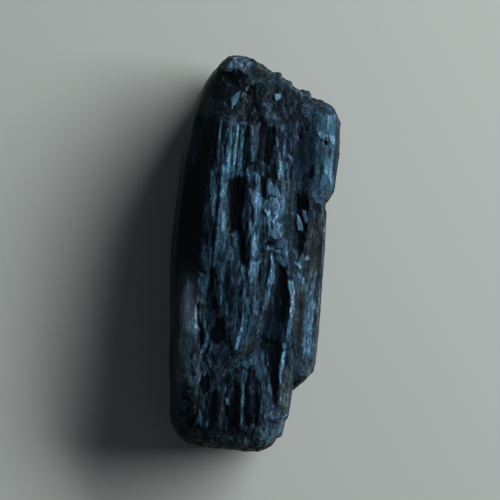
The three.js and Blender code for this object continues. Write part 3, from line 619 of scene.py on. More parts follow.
# Small flat crystal faces, laid over everything else: colour and corners. They stand out by FACE_RISE and
# lean to the right by FACE_LEAN, as a slope.
FACES = [
    # The diamond and the small square one of the broken end.
    ("teal", [
        (-3.2, 16.2), (-2.8, 16.75), (-2.3, 17.15), (-2.4, 16.3), (-2.7, 15.6), (-3.0, 15.2), (-3.1, 15.6),
    ]),
    ("pearl", [(1.4, 17.2), (2.05, 17.2), (2.05, 16.8), (1.6, 16.4), (1.4, 16.7)]),
    # The teardrop over the knot, and the two in the right hollow.
    ("mist", [(1.45, 7.3), (1.6, 7.8), (1.9, 7.8), (2.75, 6.7), (2.8, 6.35), (2.2, 6.5), (1.6, 6.4)]),
    ("pearl", [(5.4, 5.15), (5.8, 5.2), (6.15, 4.3), (6.15, 3.9), (5.85, 3.9), (5.45, 4.7)]),
    ("mist", [(4.9, 4.7), (5.15, 4.5), (5.6, 3.8), (5.8, 3.0), (5.15, 3.0), (4.95, 3.9)]),
    # The ones at the lower end.
    ("pearl", [(-0.8, -15.4), (-0.45, -15.3), (-0.25, -16.0), (-0.55, -16.05)]),
    ("teal", [(-3.3, -16.9), (-3.0, -17.6), (-2.95, -18.6), (-3.3, -18.3), (-3.75, -18.7), (-3.55, -17.8)]),
]
FACE_RISE = 0.12
FACE_LEAN = 0.12

# Where the solid's edges are worn round: width and middle line.
ROUNDED = [(6.0, [(-7.6, -13.0), (-6.0, -19.0), (-1.0, -21.0)])]

# Where the front is smooth: width and middle line.
SMOOTH = [
    (3.4, [(7.4, 17.4), (7.4, 6.0)]),
    (2.6, [(5.2, 13.6), (5.2, 9.4)]),
    (2.4, [(3.8, -1.2), (3.8, -8.4)]),
]

# Where the fibres run straight: width and middle line.
STRAIGHT = [
    (6.0, [(-2.2, 16.0), (-2.4, 6.0)]),
    (3.4, [(7.2, 18.0), (7.2, 5.0)]),
    (2.6, [(7.3, -2.0), (7.4, -14.0)]),
]

# Narrow marks on the front: colour, strength, width and middle line. They are drawn from the top down or from
# the left. Pale marks are partly painted sheen, and black marks in hollows and pits are partly painted shade.
MARKS = [
    # The tip's rough pale cap and the dark rims beside it.
    ("ink", 0.80, 1.0, [(-5.4, 18.9), (-4.4, 19.0), (-3.0, 18.6), (-1.6, 18.8)]),
    ("teal", 0.70, 0.5, [(-2.4, 20.8), (-1.7, 20.1), (-1.5, 19.7)]),
    ("pearl", 0.60, 0.6, [(-4.1, 19.7), (-3.3, 20.1)]),
    ("pearl", 0.60, 0.3, [(-3.2, 20.5), (-2.6, 20.0)]),
    ("teal", 0.60, 0.4, [(-4.3, 19.4), (-3.6, 19.2), (-2.8, 19.5)]),
    ("ink", 0.90, 0.4, [(-3.2, 19.5), (-2.4, 19.1)]),
    ("ink", 0.80, 0.5, [(-1.2, 19.8), (-0.4, 19.4)]),
    ("grey", 0.60, 0.4, [(-5.7, 18.5), (-5.5, 17.2)]),
    # The broken end: black bands and hollows between small tilted flakes.
    ("navy", 0.80, 0.9, [(-5.0, 17.5), (-3.4, 17.0)]),
    ("slate", 0.90, 0.5, [(-1.6, 18.9), (-0.6, 18.6), (0.4, 18.8)]),
    ("grey", 0.90, 0.5, [(0.2, 19.8), (1.1, 19.5), (1.9, 19.1)]),
    ("grey", 0.60, 0.25, [(0.5, 18.8), (1.5, 18.4)]),
    ("grey", 0.80, 0.4, [(2.0, 18.9), (3.0, 18.3), (4.2, 17.8), (5.6, 17.1)]),
    ("teal", 0.35, 0.3, [(3.8, 17.7), (5.6, 17.0)]),
    ("teal", 0.55, 0.25, [(-1.2, 18.1), (-1.7, 17.3), (-2.1, 16.5)]),
    ("teal", 0.50, 0.2, [(-2.9, 15.6), (-2.9, 15.0)]),
    ("ink", 0.95, 1.5, [(-1.2, 18.0), (-1.3, 16.0), (-1.4, 13.9)]),
    ("slate", 0.70, 0.3, [(-0.6, 15.5), (-0.4, 15.0)]),
    ("olive", 0.90, 0.5, [(-2.4, 15.0), (-1.6, 14.6)]),
    ("olive", 0.90, 0.4, [(-1.2, 16.8), (-0.9, 15.9)]),
    ("grey", 0.60, 0.2, [(-1.7, 16.6), (-1.4, 15.8)]),
    ("grey", 0.60, 0.2, [(-1.0, 15.0), (-0.5, 14.3)]),
    ("olive", 0.90, 0.5, [(-4.8, 17.9), (-3.9, 18.2)]),
    ("grey", 0.50, 0.2, [(-4.2, 17.4), (-3.3, 17.6)]),
    ("grey", 0.80, 0.22, [(-4.8, 14.9), (-4.3, 15.5), (-3.7, 15.7), (-3.4, 15.0)]),
    ("grey", 0.60, 0.26, [(-5.0, 14.6), (-4.2, 14.6), (-3.4, 14.3), (-2.3, 13.8)]),
    ("steel", 0.80, 0.5, [(0.2, 16.1), (1.3, 15.5)]),
    ("teal", 0.60, 0.35, [(0.6, 15.3), (0.9, 13.9)]),
    ("grey", 0.80, 0.6, [(1.2, 15.3), (1.9, 14.5)]),
    ("ink", 0.90, 0.3, [(1.4, 15.8), (2.0, 15.2), (2.5, 14.8)]),
    ("navy", 0.80, 0.9, [(2.4, 17.0), (2.9, 15.4)]),
    ("lavender", 0.80, 0.25, [(3.2, 15.9), (3.3, 15.1)]),
    ("teal", 0.60, 0.2, [(3.6, 17.0), (3.8, 16.1)]),
    ("steel", 0.60, 0.5, [(5.4, 16.9), (7.9, 15.9)]),
    ("lavender", 0.60, 0.6, [(4.3, 16.3), (5.9, 16.1)]),
    ("steel", 0.70, 0.5, [(5.2, 15.6), (5.9, 15.4)]),
    ("ink", 0.95, 1.0, [(3.8, 16.2), (4.3, 15.0), (4.4, 13.7), (4.5, 12.7)]),
    ("ink", 0.90, 0.9, [(4.6, 15.0), (5.1, 14.2), (5.1, 13.3)]),
    ("slate", 0.90, 0.25, [(4.0, 14.8), (4.5, 13.3)]),
    # The ribbed bundle beside the smooth left flank.
    ("pearl", 0.80, 0.28, [(-3.95, 13.8), (-3.95, 11.6)]),
    ("lavender", 0.90, 0.55, [(-3.85, 11.8), (-3.8, 9.0)]),
    ("ink", 0.85, 0.16, [(-3.72, 13.4), (-3.7, 11.5)]),
    ("navy", 0.90, 0.20, [(-3.3, 12.2), (-3.2, 9.0)]),
    ("teal", 0.60, 0.25, [(-3.4, 13.6), (-3.3, 12.0)]),
    ("teal", 0.70, 0.35, [(-2.9, 12.9), (-2.7, 11.4), (-2.85, 9.4)]),
    ("navy", 0.85, 0.18, [(-2.5, 11.4), (-2.4, 9.0)]),
    ("pearl", 0.70, 0.20, [(-2.15, 13.5), (-2.12, 9.0)]),
    ("ink", 0.90, 0.22, [(-1.95, 13.4), (-1.93, 9.0)]),
    ("teal", 0.75, 0.28, [(-1.65, 13.0), (-1.55, 10.2), (-1.6, 8.5)]),
    ("ink", 0.90, 0.60, [(-1.1, 13.8), (-1.1, 8.4)]),
    ("steel", 0.60, 0.14, [(-1.05, 12.2), (-1.05, 9.2)]),
    ("steel", 0.90, 0.45, [(-0.55, 13.5), (-0.5, 11.0)]),
    ("pearl", 0.60, 0.45, [(-0.45, 11.2), (-0.25, 9.8)]),
    ("steel", 0.70, 0.2, [(-0.05, 13.1), (0.0, 10.6)]),
    ("slate", 0.90, 0.5, [(-0.5, 9.5), (-0.1, 8.6)]),
    # The first cavity and its dark tail, then the pale fibres on its right.
    ("ink", 0.95, 0.6, [(2.1, 9.9), (1.8, 9.1), (2.2, 8.4), (2.8, 7.4), (3.0, 6.6)]),
    ("teal", 0.55, 0.25, [(2.0, 12.9), (2.2, 11.0)]),
    ("lavender", 0.80, 0.4, [(2.8, 12.6), (2.9, 10.6)]),
    ("ink", 0.80, 0.42, [(3.3, 11.9), (3.4, 11.1)]),
    ("pearl", 0.45, 0.45, [(2.4, 10.2), (2.8, 9.4), (3.1, 8.3)]),
    ("teal", 0.70, 0.3, [(3.2, 10.1), (3.5, 9.2)]),
    ("lavender", 0.80, 0.5, [(2.8, 8.8), (3.3, 7.4), (3.4, 5.8)]),
    ("grey", 0.70, 0.3, [(3.6, 8.0), (3.9, 6.6), (4.1, 5.2)]),
    # The smooth blue facet and the dark places at its foot.
    ("navy", 0.80, 1.1, [(5.6, 12.9), (5.8, 10.6)]),
    ("ink", 0.60, 0.5, [(5.2, 8.8), (5.3, 7.4)]),
    ("ink", 0.80, 0.5, [(6.0, 10.0), (6.0, 8.4)]),
    # The upper right column, its bright striae and its pits.
    ("pearl", 0.80, 0.9, [(6.4, 13.6), (7.0, 13.1), (8.2, 13.0)]),
    ("frost", 0.80, 0.5, [(7.6, 13.4), (8.1, 12.5)]),
    ("ink", 1.00, 0.45, [(7.25, 13.0), (7.3, 12.4)]),
    ("ink", 1.00, 0.28, [(7.72, 11.9), (7.72, 11.0)]),
    ("frost", 0.30, 0.40, [(8.0, 11.3), (7.95, 9.8), (8.25, 8.1)]),
    ("navy", 0.80, 0.22, [(7.0, 10.3), (7.2, 8.3)]),
    ("slate", 0.80, 0.16, [(6.72, 13.0), (6.75, 9.4)]),
    ("slate", 0.80, 0.16, [(7.9, 12.6), (7.95, 9.2)]),
    ("slate", 0.80, 0.14, [(8.25, 14.4), (8.3, 9.4)]),
    ("grey", 0.80, 0.8, [(7.8, 8.2), (8.1, 7.2), (7.5, 6.4)]),
    # The hollows under the upper column and the cavity with its small crystals.
    ("ink", 0.95, 0.5, [(6.6, 6.1), (7.2, 5.4), (7.6, 5.0)]),
    ("lavender", 0.70, 0.35, [(6.1, 6.4), (6.4, 5.3)]),
    ("ink", 0.95, 1.7, [(5.2, 3.6), (5.5, 2.4), (5.6, 0.4)]),
    ("slate", 0.90, 0.4, [(4.4, 3.2), (4.7, 0.6)]),
    ("pearl", 0.70, 0.2, [(4.35, 5.0), (4.6, 4.5)]),
    ("olive", 0.60, 0.5, [(5.9, 2.2), (6.2, 1.2)]),
    ("ink", 0.80, 0.18, [(6.5, 3.4), (6.3, 2.2)]),
    # The middle bundle, the teardrop and the swirling knot.
    ("pearl", 0.80, 0.30, [(-0.55, 8.5), (-0.4, 7.4)]),
    ("pearl", 0.80, 0.28, [(0.2, 8.4), (0.3, 7.5)]),
    ("navy", 0.85, 0.22, [(-0.05, 8.2), (0.1, 6.7)]),
    ("ink", 0.95, 0.42, [(0.75, 8.3), (0.95, 7.2), (1.3, 6.1)]),
    ("navy", 0.90, 0.30, [(0.0, 5.5), (0.3, 4.7), (0.4, 2.9)]),
    ("teal", 0.70, 0.30, [(1.15, 5.0), (1.3, 3.3)]),
    ("ink", 0.70, 0.16, [(1.3, 6.15), (2.2, 6.2), (3.0, 5.7), (3.2, 5.0)]),
    ("pearl", 0.80, 0.22, [(3.75, 2.9), (3.6, 2.2), (3.1, 1.85)]),
    ("ink", 0.80, 0.16, [(2.3, 0.4), (2.7, 0.6), (3.1, 0.45), (3.5, 0.0), (3.75, -0.6)]),
    ("frost", 0.60, 0.16, [(2.8, 0.8), (3.4, 0.5), (3.9, -0.3)]),
    ("navy", 0.80, 0.14, [(2.9, 1.0), (3.65, 0.6), (4.1, -0.2)]),
    ("pearl", 0.95, 0.45, [(2.65, 0.0), (2.85, -1.4), (3.2, -2.8)]),
    # The left fibres and the narrow black cavity beside them.
    ("ink", 0.90, 0.7, [(-1.1, 3.0), (-0.6, 1.2), (-0.3, -1.4)]),
    ("pearl", 0.60, 0.22, [(-2.75, 7.4), (-2.8, 5.8)]),
    ("navy", 0.85, 0.25, [(-3.7, 8.4), (-3.85, 6.8)]),
    ("teal", 0.85, 0.55, [(-3.3, 7.8), (-3.05, 6.6), (-3.4, 5.6)]),
    ("steel", 0.80, 0.45, [(-4.3, 5.6), (-4.3, 3.2)]),
    ("ink", 0.80, 0.28, [(-3.6, 5.8), (-3.5, 3.2)]),
    ("lavender", 0.90, 0.60, [(-3.1, 4.9), (-2.85, 3.4), (-2.6, 1.9)]),
    ("pearl", 0.70, 0.28, [(-3.0, 4.5), (-2.7, 2.2)]),
    ("teal", 0.70, 0.4, [(-4.0, 4.6), (-4.1, 2.8)]),
    ("steel", 0.80, 0.55, [(-3.2, 1.9), (-3.2, -1.7)]),
    ("ink", 0.70, 0.25, [(-2.2, 1.6), (-2.1, 0.0)]),
    ("ink", 0.70, 0.3, [(-4.5, 2.6), (-4.5, 0.4)]),
    ("pearl", 0.80, 0.24, [(-0.4, -0.9), (-0.2, -2.0), (0.15, -3.0)]),
    ("ink", 0.90, 0.24, [(0.15, -0.4), (0.35, -2.7)]),
    ("ink", 0.70, 0.3, [(1.6, -1.4), (1.7, -3.4)]),
    ("ink", 0.60, 0.2, [(2.45, -0.2), (2.4, -2.4)]),
    ("slate", 0.80, 0.6, [(0.2, -3.2), (0.8, -4.2)]),
    # The dark fine fibres of the lower left, with their teal lines and black holes.
    ("ink", 0.80, 0.28, [(-4.8, -1.8), (-4.4, -2.2), (-3.9, -2.3)]),
    ("ink", 0.90, 0.55, [(-3.5, -1.6), (-3.3, -4.6)]),
    ("teal", 0.80, 0.22, [(-2.45, -2.2), (-2.2, -4.0), (-2.1, -5.5)]),
    ("ink", 0.70, 0.3, [(-1.9, -1.8), (-1.6, -4.0)]),
    ("steel", 0.80, 0.2, [(-1.9, -4.0), (-1.5, -5.8), (-1.2, -7.0)]),
    ("ink", 0.80, 0.9, [(-3.2, -4.6), (-2.8, -6.4)]),
    ("ink", 0.90, 0.26, [(0.2, -4.8), (0.05, -7.2)]),
    ("pearl", 0.90, 0.35, [(0.4, -4.2), (0.65, -5.2), (0.95, -6.2)]),
    ("steel", 0.80, 0.3, [(0.9, -5.2), (0.4, -7.0)]),
    ("steel", 0.90, 0.9, [(0.8, -6.8), (0.9, -7.8), (0.1, -8.6)]),
    ("pearl", 0.80, 0.60, [(0.3, -7.8), (0.1, -8.8), (-0.1, -10.1)]),
    ("ink", 0.90, 0.5, [(-0.95, -8.8), (-0.6, -10.4)]),
    ("olive", 0.90, 0.7, [(1.3, -8.3), (1.6, -10.2)]),
    ("grey", 0.70, 0.4, [(1.0, -8.8), (0.4, -10.4)]),
    # The dark wedge between its two bright ridges.
    ("ink", 0.90, 1.2, [(3.7, -0.9), (4.1, -2.6), (4.4, -5.0)]),
    ("ink", 0.70, 1.6, [(4.0, -4.0), (4.0, -7.0)]),
    ("lavender", 0.90, 0.60, [(2.9, -2.8), (2.7, -4.4), (2.4, -5.8)]),
    ("teal", 0.70, 0.25, [(2.95, -3.2), (2.75, -4.4)]),
    ("lavender", 0.80, 0.28, [(2.4, -5.4), (2.15, -6.8), (2.1, -8.3)]),
    ("navy", 0.70, 1.8, [(3.3, -6.0), (3.5, -8.6)]),
    ("ink", 0.90, 0.9, [(2.3, -8.8), (3.6, -9.0), (4.6, -9.2)]),
    ("pearl", 0.85, 0.35, [(4.6, -2.1), (4.9, -3.2), (5.15, -4.2)]),
    ("teal", 0.80, 0.3, [(5.2, -8.0), (5.1, -9.4)]),
    ("navy", 0.80, 0.14, [(5.4, -5.4), (5.15, -6.2), (5.0, -7.0)]),
    ("pearl", 0.60, 0.4, [(4.7, -9.0), (5.2, -9.5)]),
    ("pearl", 0.95, 0.45, [(5.1, -10.9), (4.75, -11.8), (4.85, -13.4)]),
    ("ink", 0.95, 1.2, [(4.0, -9.4), (4.0, -11.5), (4.3, -14.6)]),
    ("steel", 0.90, 0.26, [(3.3, -10.3), (3.45, -11.6)]),
    # The right column below the notch.
    ("olive", 0.80, 0.9, [(6.5, 4.4), (6.7, 2.0), (6.9, 0.0)]),
    ("grey", 0.60, 0.2, [(6.9, 4.8), (6.6, 1.4)]),
    ("pearl", 0.85, 0.45, [(5.2, -0.2), (5.6, -0.6), (6.0, -0.9)]),
    ("ink", 0.70, 0.5, [(6.4, -4.6), (6.4, -7.0), (6.3, -9.4)]),
    ("teal", 0.70, 0.5, [(7.3, -5.0), (7.4, -7.0), (7.6, -9.8)]),
    ("lavender", 0.80, 0.5, [(7.6, -1.2), (7.2, -3.6), (7.1, -5.8)]),
    ("navy", 0.60, 0.2, [(7.75, -5.0), (7.9, -9.6)]),
    ("ink", 0.70, 0.4, [(5.8, -8.7), (6.2, -10.4)]),
    ("grey", 0.60, 0.25, [(6.3, -10.0), (6.6, -10.3)]),
    ("slate", 0.70, 0.7, [(6.6, -10.2), (6.9, -12.8)]),
    ("ink", 0.90, 0.6, [(6.2, -12.9), (6.8, -13.5), (7.4, -13.4)]),
    # The flake above the smooth shoulder and the fibre beside its slot.
    ("teal", 0.60, 0.45, [(-4.8, -2.3), (-4.1, -2.8), (-3.9, -4.0)]),
    ("steel", 0.90, 0.40, [(-3.85, -5.4), (-3.6, -7.6), (-3.3, -10.4)]),
    # The worn lower left.
    ("grey", 0.80, 0.45, [(-5.3, -12.4), (-5.0, -13.4), (-4.5, -14.6)]),
    ("ink", 0.90, 1.0, [(-3.0, -12.9), (-2.9, -15.2)]),
    ("lavender", 0.80, 0.2, [(-2.3, -13.7), (-2.5, -15.1)]),
    ("ink", 0.60, 0.8, [(-3.2, -10.6), (-1.9, -12.0)]),
    ("olive", 0.90, 0.9, [(-4.6, -16.0), (-3.2, -16.6)]),
    ("ink", 0.80, 0.9, [(-4.5, -17.6), (-3.8, -18.8)]),
    ("ink", 0.80, 0.25, [(-3.35, -18.2), (-3.2, -18.9)]),
    ("teal", 0.90, 0.40, [(-2.6, -18.0), (-2.4, -18.8)]),
    # The diagonal ridge and the long crests of the lower end.
    ("grey", 0.80, 0.2, [(-0.6, -11.4), (0.3, -11.0), (1.3, -10.7)]),
    ("grey", 0.75, 0.6, [(-1.7, -13.6), (-0.6, -12.0), (0.6, -10.6), (1.6, -8.6)]),
    ("teal", 0.70, 0.22, [(-0.9, -13.0), (0.2, -11.8), (1.2, -10.9), (1.9, -10.1)]),
    ("ink", 0.80, 0.26, [(-1.9, -12.6), (-0.9, -11.2), (0.3, -9.8)]),
    ("teal", 0.80, 0.50, [(1.2, -11.8), (1.25, -13.6)]),
    ("ink", 0.85, 0.6, [(2.0, -12.0), (1.7, -13.8)]),
    ("pearl", 0.85, 0.42, [(1.05, -14.4), (1.1, -16.2)]),
    ("ink", 0.95, 1.1, [(0.3, -14.0), (0.2, -16.4), (0.4, -18.6)]),
    ("ink", 0.85, 1.0, [(-2.0, -14.8), (-1.9, -16.8), (-1.8, -18.4)]),
    ("teal", 0.80, 0.40, [(-0.75, -13.7), (-0.95, -15.0)]),
    ("grey", 0.80, 0.28, [(-1.0, -14.8), (-1.1, -16.6), (-0.95, -18.8)]),
    ("navy", 0.90, 1.4, [(2.3, -13.0), (2.6, -15.0), (2.4, -17.0)]),
    ("lavender", 0.80, 0.26, [(2.7, -12.8), (3.2, -14.8), (3.9, -17.0)]),
    ("steel", 0.70, 0.2, [(2.3, -12.6), (3.0, -15.2), (3.4, -16.8)]),
    ("grey", 0.70, 0.22, [(2.4, -16.5), (2.45, -18.1)]),
    ("ink", 0.85, 0.6, [(4.2, -13.8), (4.5, -15.6)]),
    # The worn, grainy lower right and the bottom rim.
    ("lavender", 0.80, 1.2, [(3.2, -17.2), (5.2, -17.6)]),
    ("grey", 0.80, 0.7, [(5.3, -18.4), (4.8, -19.6), (3.8, -20.4)]),
    ("slate", 0.80, 0.6, [(-3.0, -19.0), (-1.2, -19.5)]),
    ("ink", 0.80, 0.8, [(0.6, -18.6), (1.9, -19.2)]),
]


# ---- noise ----


def hashed(cells, seed):
    """A steady number from 0 to 1 for each whole-number cell."""
    words = cells.astype(np.int64).astype(np.uint32)
    mixed = np.full(len(words), seed * 3266489917 % 2**32, np.uint32)
    for axis, factor in zip(range(words.shape[1]), (374761393, 668265263, 2246822519)):
        mixed += words[:, axis] * np.uint32(factor)
    mixed = (mixed ^ (mixed >> np.uint32(13))) * np.uint32(1274126177)
    mixed = mixed ^ (mixed >> np.uint32(16))
    return mixed / 2.0**32


def soft_noise(places, size, seed):
    """Smooth noise from -1 to 1, in blobs of that size along each axis."""
    scaled = places / np.array(size)
    corner = np.floor(scaled)
    part = scaled - corner
    part = part * part * (3 - 2 * part)
    total = np.zeros(len(places))
    for offset in itertools.product((0, 1), repeat=places.shape[1]):
        share = np.prod(np.where(offset, part, 1 - part), axis=1)
        total += share * hashed(corner + offset, seed)
    return total * 2 - 1


def creased_noise(places, width, length, seed):
    """Noise from -1 to 1 over a flat sheet, in flat facets about that wide that run along y for about that
    length, with creases between them."""
    sway = CREASE_SWAY * soft_noise(places, (width * SWAY_WIDTHS, length), seed + 5)
    column = places[:, 0] / width + sway
    first = np.floor(column)
    part = column - first
    total = np.zeros(len(places))
    for offset, share in ((0, 1 - part), (1, part)):
        line = first + offset
        shifted = places[:, 1] + length * hashed(line[:, None], seed + 1)
        total += share * soft_noise(np.stack([line, shifted], axis=1), (1, length), seed)
    return total


def flaked(places, size, step, slope, seed):
    """Heights of flakes of about that size over a flat sheet. Flakes differ by up to that step, and each is
    flat and leans to the left or the right by up to that slope."""
    scaled = places / np.array(size)
    home = np.floor(scaled)
    nearest = np.full(len(places), np.inf)
    height = np.zeros(len(places))
    for offset in itertools.product((-1, 0, 1), repeat=2):
        cell = home + offset
        middle = cell + np.stack([hashed(cell, seed + axis) for axis in range(2)], axis=1)
        distance = np.linalg.norm(scaled - middle, axis=1)
        closer = distance < nearest
        nearest = np.where(closer, distance, nearest)
        across = (scaled[:, 0] - middle[:, 0]) * size[0]
        rise = step * (hashed(cell, seed + 3) - 0.5)
        lean = slope * (hashed(cell, seed + 4) * 2 - 1)
        height = np.where(closer, rise + lean * across, height)
    return height


def layered_noise(places, name):
    """The sum of the layers of NOISES of that name."""
    return sum(strength * soft_noise(places, size, seed) for strength, size, seed in NOISES[name])


def layered_creases(places, name):
    """The sum of the layers of CREASES of that name."""
    return sum(strength * creased_noise(places, *layer) for strength, *layer in CREASES[name])


def layered_flakes(places, name):
    """The sum of the layers of FLAKES of that name."""
    return sum(flaked(places, *layer) for layer in FLAKES[name])


def shaken(places, name):
    """The places shifted by the layers of NOISES of that name."""
    return places + layered_noise(places, name)[:, None]


def ramp(values, start, end):
    """0 at start and 1 at end, with an eased step between."""
    share = np.clip((values - start) / (end - start), 0, 1)
    return share * share * (3 - 2 * share)


# ---- the mesh ----


def evaluated(piece):
    """A new mesh of the piece with its modifiers applied."""
    return bpy.data.meshes.new_from_object(piece.evaluated_get(bpy.context.evaluated_depsgraph_get()))


def remade_mesh():
    """The CAD crystal as an even, closed mesh."""
    source = bpy.data.objects.new("source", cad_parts[NODE].data.copy())
    bpy.context.scene.collection.objects.link(source)
    remesh = source.modifiers.new("even", "REMESH")
    remesh.mode = "VOXEL"
    remesh.voxel_size = MESH_SPACING * MM
    mesh = evaluated(source)
    bpy.data.objects.remove(source)
    return mesh


def read_points(mesh):
    values = np.empty(len(mesh.vertices) * 3, np.float32)
    mesh.vertices.foreach_get("co", values)
    return values.reshape(-1, 3).astype(float) / MM


def write_points(mesh, points):
    mesh.vertices.foreach_set("co", (points * MM).astype(np.float32).ravel())
    mesh.update()


def read_edges(mesh):
    values = np.empty(len(mesh.edges) * 2, np.int32)
    mesh.edges.foreach_get("vertices", values)
    return values.reshape(-1, 2)


def read_normals(mesh, rounds):
    """The vertices' normals, evened out over their neighbours that many times."""
    values = np.empty(len(mesh.vertices) * 3, np.float32)
    mesh.vertex_normals.foreach_get("vector", values)
    normals = relaxed(values.reshape(-1, 3).astype(float), read_edges(mesh), rounds)
    return normals / np.linalg.norm(normals, axis=1, keepdims=True)


def relaxed(values, edges, rounds):
    """Each vertex's values averaged with its neighbours', several times over."""
    count = len(values)
    neighbours = np.bincount(edges.ravel(), minlength=count)[:, None]
    for _ in range(rounds):
        sums = np.stack(
            [
                np.bincount(edges[:, 0], values[edges[:, 1], axis], count)
                + np.bincount(edges[:, 1], values[edges[:, 0], axis], count)
                for axis in range(values.shape[1])
            ],
            axis=1,
        )
        values = (values + sums / neighbours) / 2
    return values


def levelled(heights, edges):
    """The heights with their hollows mostly filled up and their steps eased."""
    filled = heights
    for _ in range(FILL_STEPS):
        filled = np.maximum(filled, relaxed(filled, edges, ROUNDS["gaps"]))
    return relaxed(heights + FILLED_SHARE * (filled - heights), edges, ROUNDS["rims"])


def triangle_count(mesh):
    return len(mesh.loops) - 2 * len(mesh.polygons)


def thinned(piece, kept):
    """The piece's mesh with fewer triangles, but with all the points that are kept."""
    group = piece.vertex_groups.new(name="thin")
    group.add(np.flatnonzero(~kept).tolist(), 1.0, "REPLACE")
    thin = piece.modifiers.new("thin", "DECIMATE")
    thin.ratio = MOST_TRIANGLES / triangle_count(piece.data)
    thin.vertex_group = group.name
    mesh = evaluated(piece)
    piece.modifiers.clear()
    piece.vertex_groups.clear()
    return mesh


def kept_inside(points):
    """The points held within the CAD box."""
    return np.clip(points, np.array(cad_low) / MM, np.array(cad_high) / MM)


# ---- places ----


def in_frame(line):
    """A line of the tables, moved from the drawing to the mesh's own frame."""
    return np.array(line) - DRAWING_ORIGIN


def stroke_shares(places, width, line):
    """For a stroke along a line of points, how deep each place lies in it, from 0 at its edge to 1 on its
    middle line, and how far right of the line it is, from -1 to 1. A stroke narrows towards both ends."""
    depth = np.zeros(len(places))
    side = np.zeros(len(places))
    inside = (places > line.min(axis=0) - width) & (places < line.max(axis=0) + width)
    near = np.flatnonzero(inside.all(axis=1))
    if not len(near):
        return depth, side
    steps = np.diff(line, axis=0)
    lengths = np.linalg.norm(steps, axis=1)
    starts = np.cumsum(lengths) - lengths
    distance = np.full(len(near), np.inf)
    along = np.zeros(len(near))
    for corner, step, length, start in zip(line, steps, lengths, starts):
        offset = places[near] - corner
        part = np.clip(offset @ step / length**2, 0, 1)
        apart = np.linalg.norm(offset - part[:, None] * step, axis=1)
        closer = apart < np.abs(distance)
        right = np.sign(step[0] * offset[:, 1] - step[1] * offset[:, 0])
        distance = np.where(closer, apart * np.where(right == 0, 1, right), distance)
        along = np.where(closer, start + part * length, along)
    middle_share = 1 - np.abs(along / lengths.sum() * 2 - 1) ** 3
    beside = distance / (width / 2 * np.sqrt(middle_share) + 1e-6)
    depth[near] = np.clip(1 - np.abs(beside), 0, 1)
    side[near] = np.clip(beside, -1, 1)
    return depth, side


def deepest(places, strokes):
    """How deep each place lies in the deepest of some strokes, given by their widths and middle lines."""
    return np.max([stroke_shares(places, width, in_frame(line))[0] for width, line in strokes], axis=0)


def patch_depths(places, outline):
    """How far each place lies inside an outline, or below 0 how far outside it, up to the reach."""
    depth = np.full(len(places), -PATCH_REACH)
    inside = (places > outline.min(axis=0) - PATCH_REACH) & (places < outline.max(axis=0) + PATCH_REACH)
    near = np.flatnonzero(inside.all(axis=1))
    around = places[near]
    distance = np.full(len(near), PATCH_REACH)
    within = np.zeros(len(near), bool)
    for corner, after in zip(outline, np.roll(outline, -1, axis=0)):
        step = after - corner
        offset = around - corner
        part = np.clip(offset @ step / (step @ step), 0, 1)
        distance = np.minimum(distance, np.linalg.norm(offset - part[:, None] * step, axis=1))
        level = (corner[1] > around[:, 1]) != (after[1] > around[:, 1])
        crossing = corner[0] + step[0] * (around[:, 1] - corner[1]) / (step[1] or 1.0)
        within ^= level & (around[:, 0] < crossing)
    depth[near] = np.where(within, distance, -distance)
    return depth


def patch_shares(places, corners, before, after):
    """0 outside an outline and 1 inside it. The step lies from that far before the outline to that far after
    it, counted in soft edges."""
    return ramp(patch_depths(places, in_frame(corners)), -before * PATCH_EDGE, after * PATCH_EDGE)


def knot_share(places, middle, reach):
    """1 in the middle of a knot, 0 from its reach on."""
    return ramp(-np.linalg.norm(places - in_frame(middle), axis=1), -reach, 0)


def wavy_share(places):
    """0 where the fibres run straight, 1 away from there."""
    return 1 - ramp(deepest(places, STRAIGHT), 0, ZONE_RIM)


def shoulder_share(points):
    """1 on the smooth shoulder at the lower left, 0 away from it."""
    return ramp(deepest(points[:, :2], SHOULDER), 0, SHOULDER_RIM)


def grainy_share(points):
    """1 where the front is broken or worn to a grain, 0 where it runs in fibres."""
    return ramp(deepest(shaken(points[:, :2], "grain outline"), GRAINY), 0, ZONE_RIM)


def smooth_share(points):
    """1 where the front is a smooth facet."""
    return ramp(deepest(points[:, :2], SMOOTH), 0, ZONE_RIM)


def face_shares(places):
    """How much of each place lies on one of the small flat faces, and how far that face raises it."""
    share = np.zeros(len(places))
    height = np.zeros(len(places))
    for _, corners in FACES:
        own = patch_shares(places, corners, 1, 1)
        right = places[:, 0] - in_frame(corners)[:, 0].mean()
        height = np.where(own > share, FACE_RISE - FACE_LEAN * right, height)
        share = np.maximum(share, own)
    return share, height


def facing_shares(points, normals):
    """How much each point belongs to the front, the left flank, the back and the two ends, from 0 to 1."""
    right, along, up = normals.T
    turned = {"front": up, "left": -right, "back": -up, "ends": np.abs(along)}
    shares = {side: ramp(turned[side], *FACING[side]) for side in turned}
    shares["left"] *= ramp(-points[:, 0], *FLANK_SPAN)
    return shares


def frayed(places):
    """The places shifted a little, so that strokes and patches get ragged, splintered outlines."""
    raggedness = STRAIGHT_RAGGEDNESS + (1 - STRAIGHT_RAGGEDNESS) * wavy_share(places)
    across = layered_noise(places, "ragged") * raggedness
    return places + np.stack([across, layered_noise(places, "splintered")], axis=1)


def bent(sheet):
    """The places of a flat sheet shifted so that straight lines along y come out as bent, swirling fibres."""
    places = sheet.copy()
    wander = STRAIGHT_WANDER + (1 - STRAIGHT_WANDER) * wavy_share(sheet)
    places[:, 0] += layered_noise(sheet, "wander") * wander
    for middle, reach, turn in SWIRLS:
        offset = sheet - in_frame(middle)
        angle = turn * knot_share(sheet, middle, reach)
        across = offset[:, 0] * np.cos(angle) - offset[:, 1] * np.sin(angle)
        along = offset[:, 0] * np.sin(angle) + offset[:, 1] * np.cos(angle)
        places += np.stack([across, along], axis=1) - offset
    return places


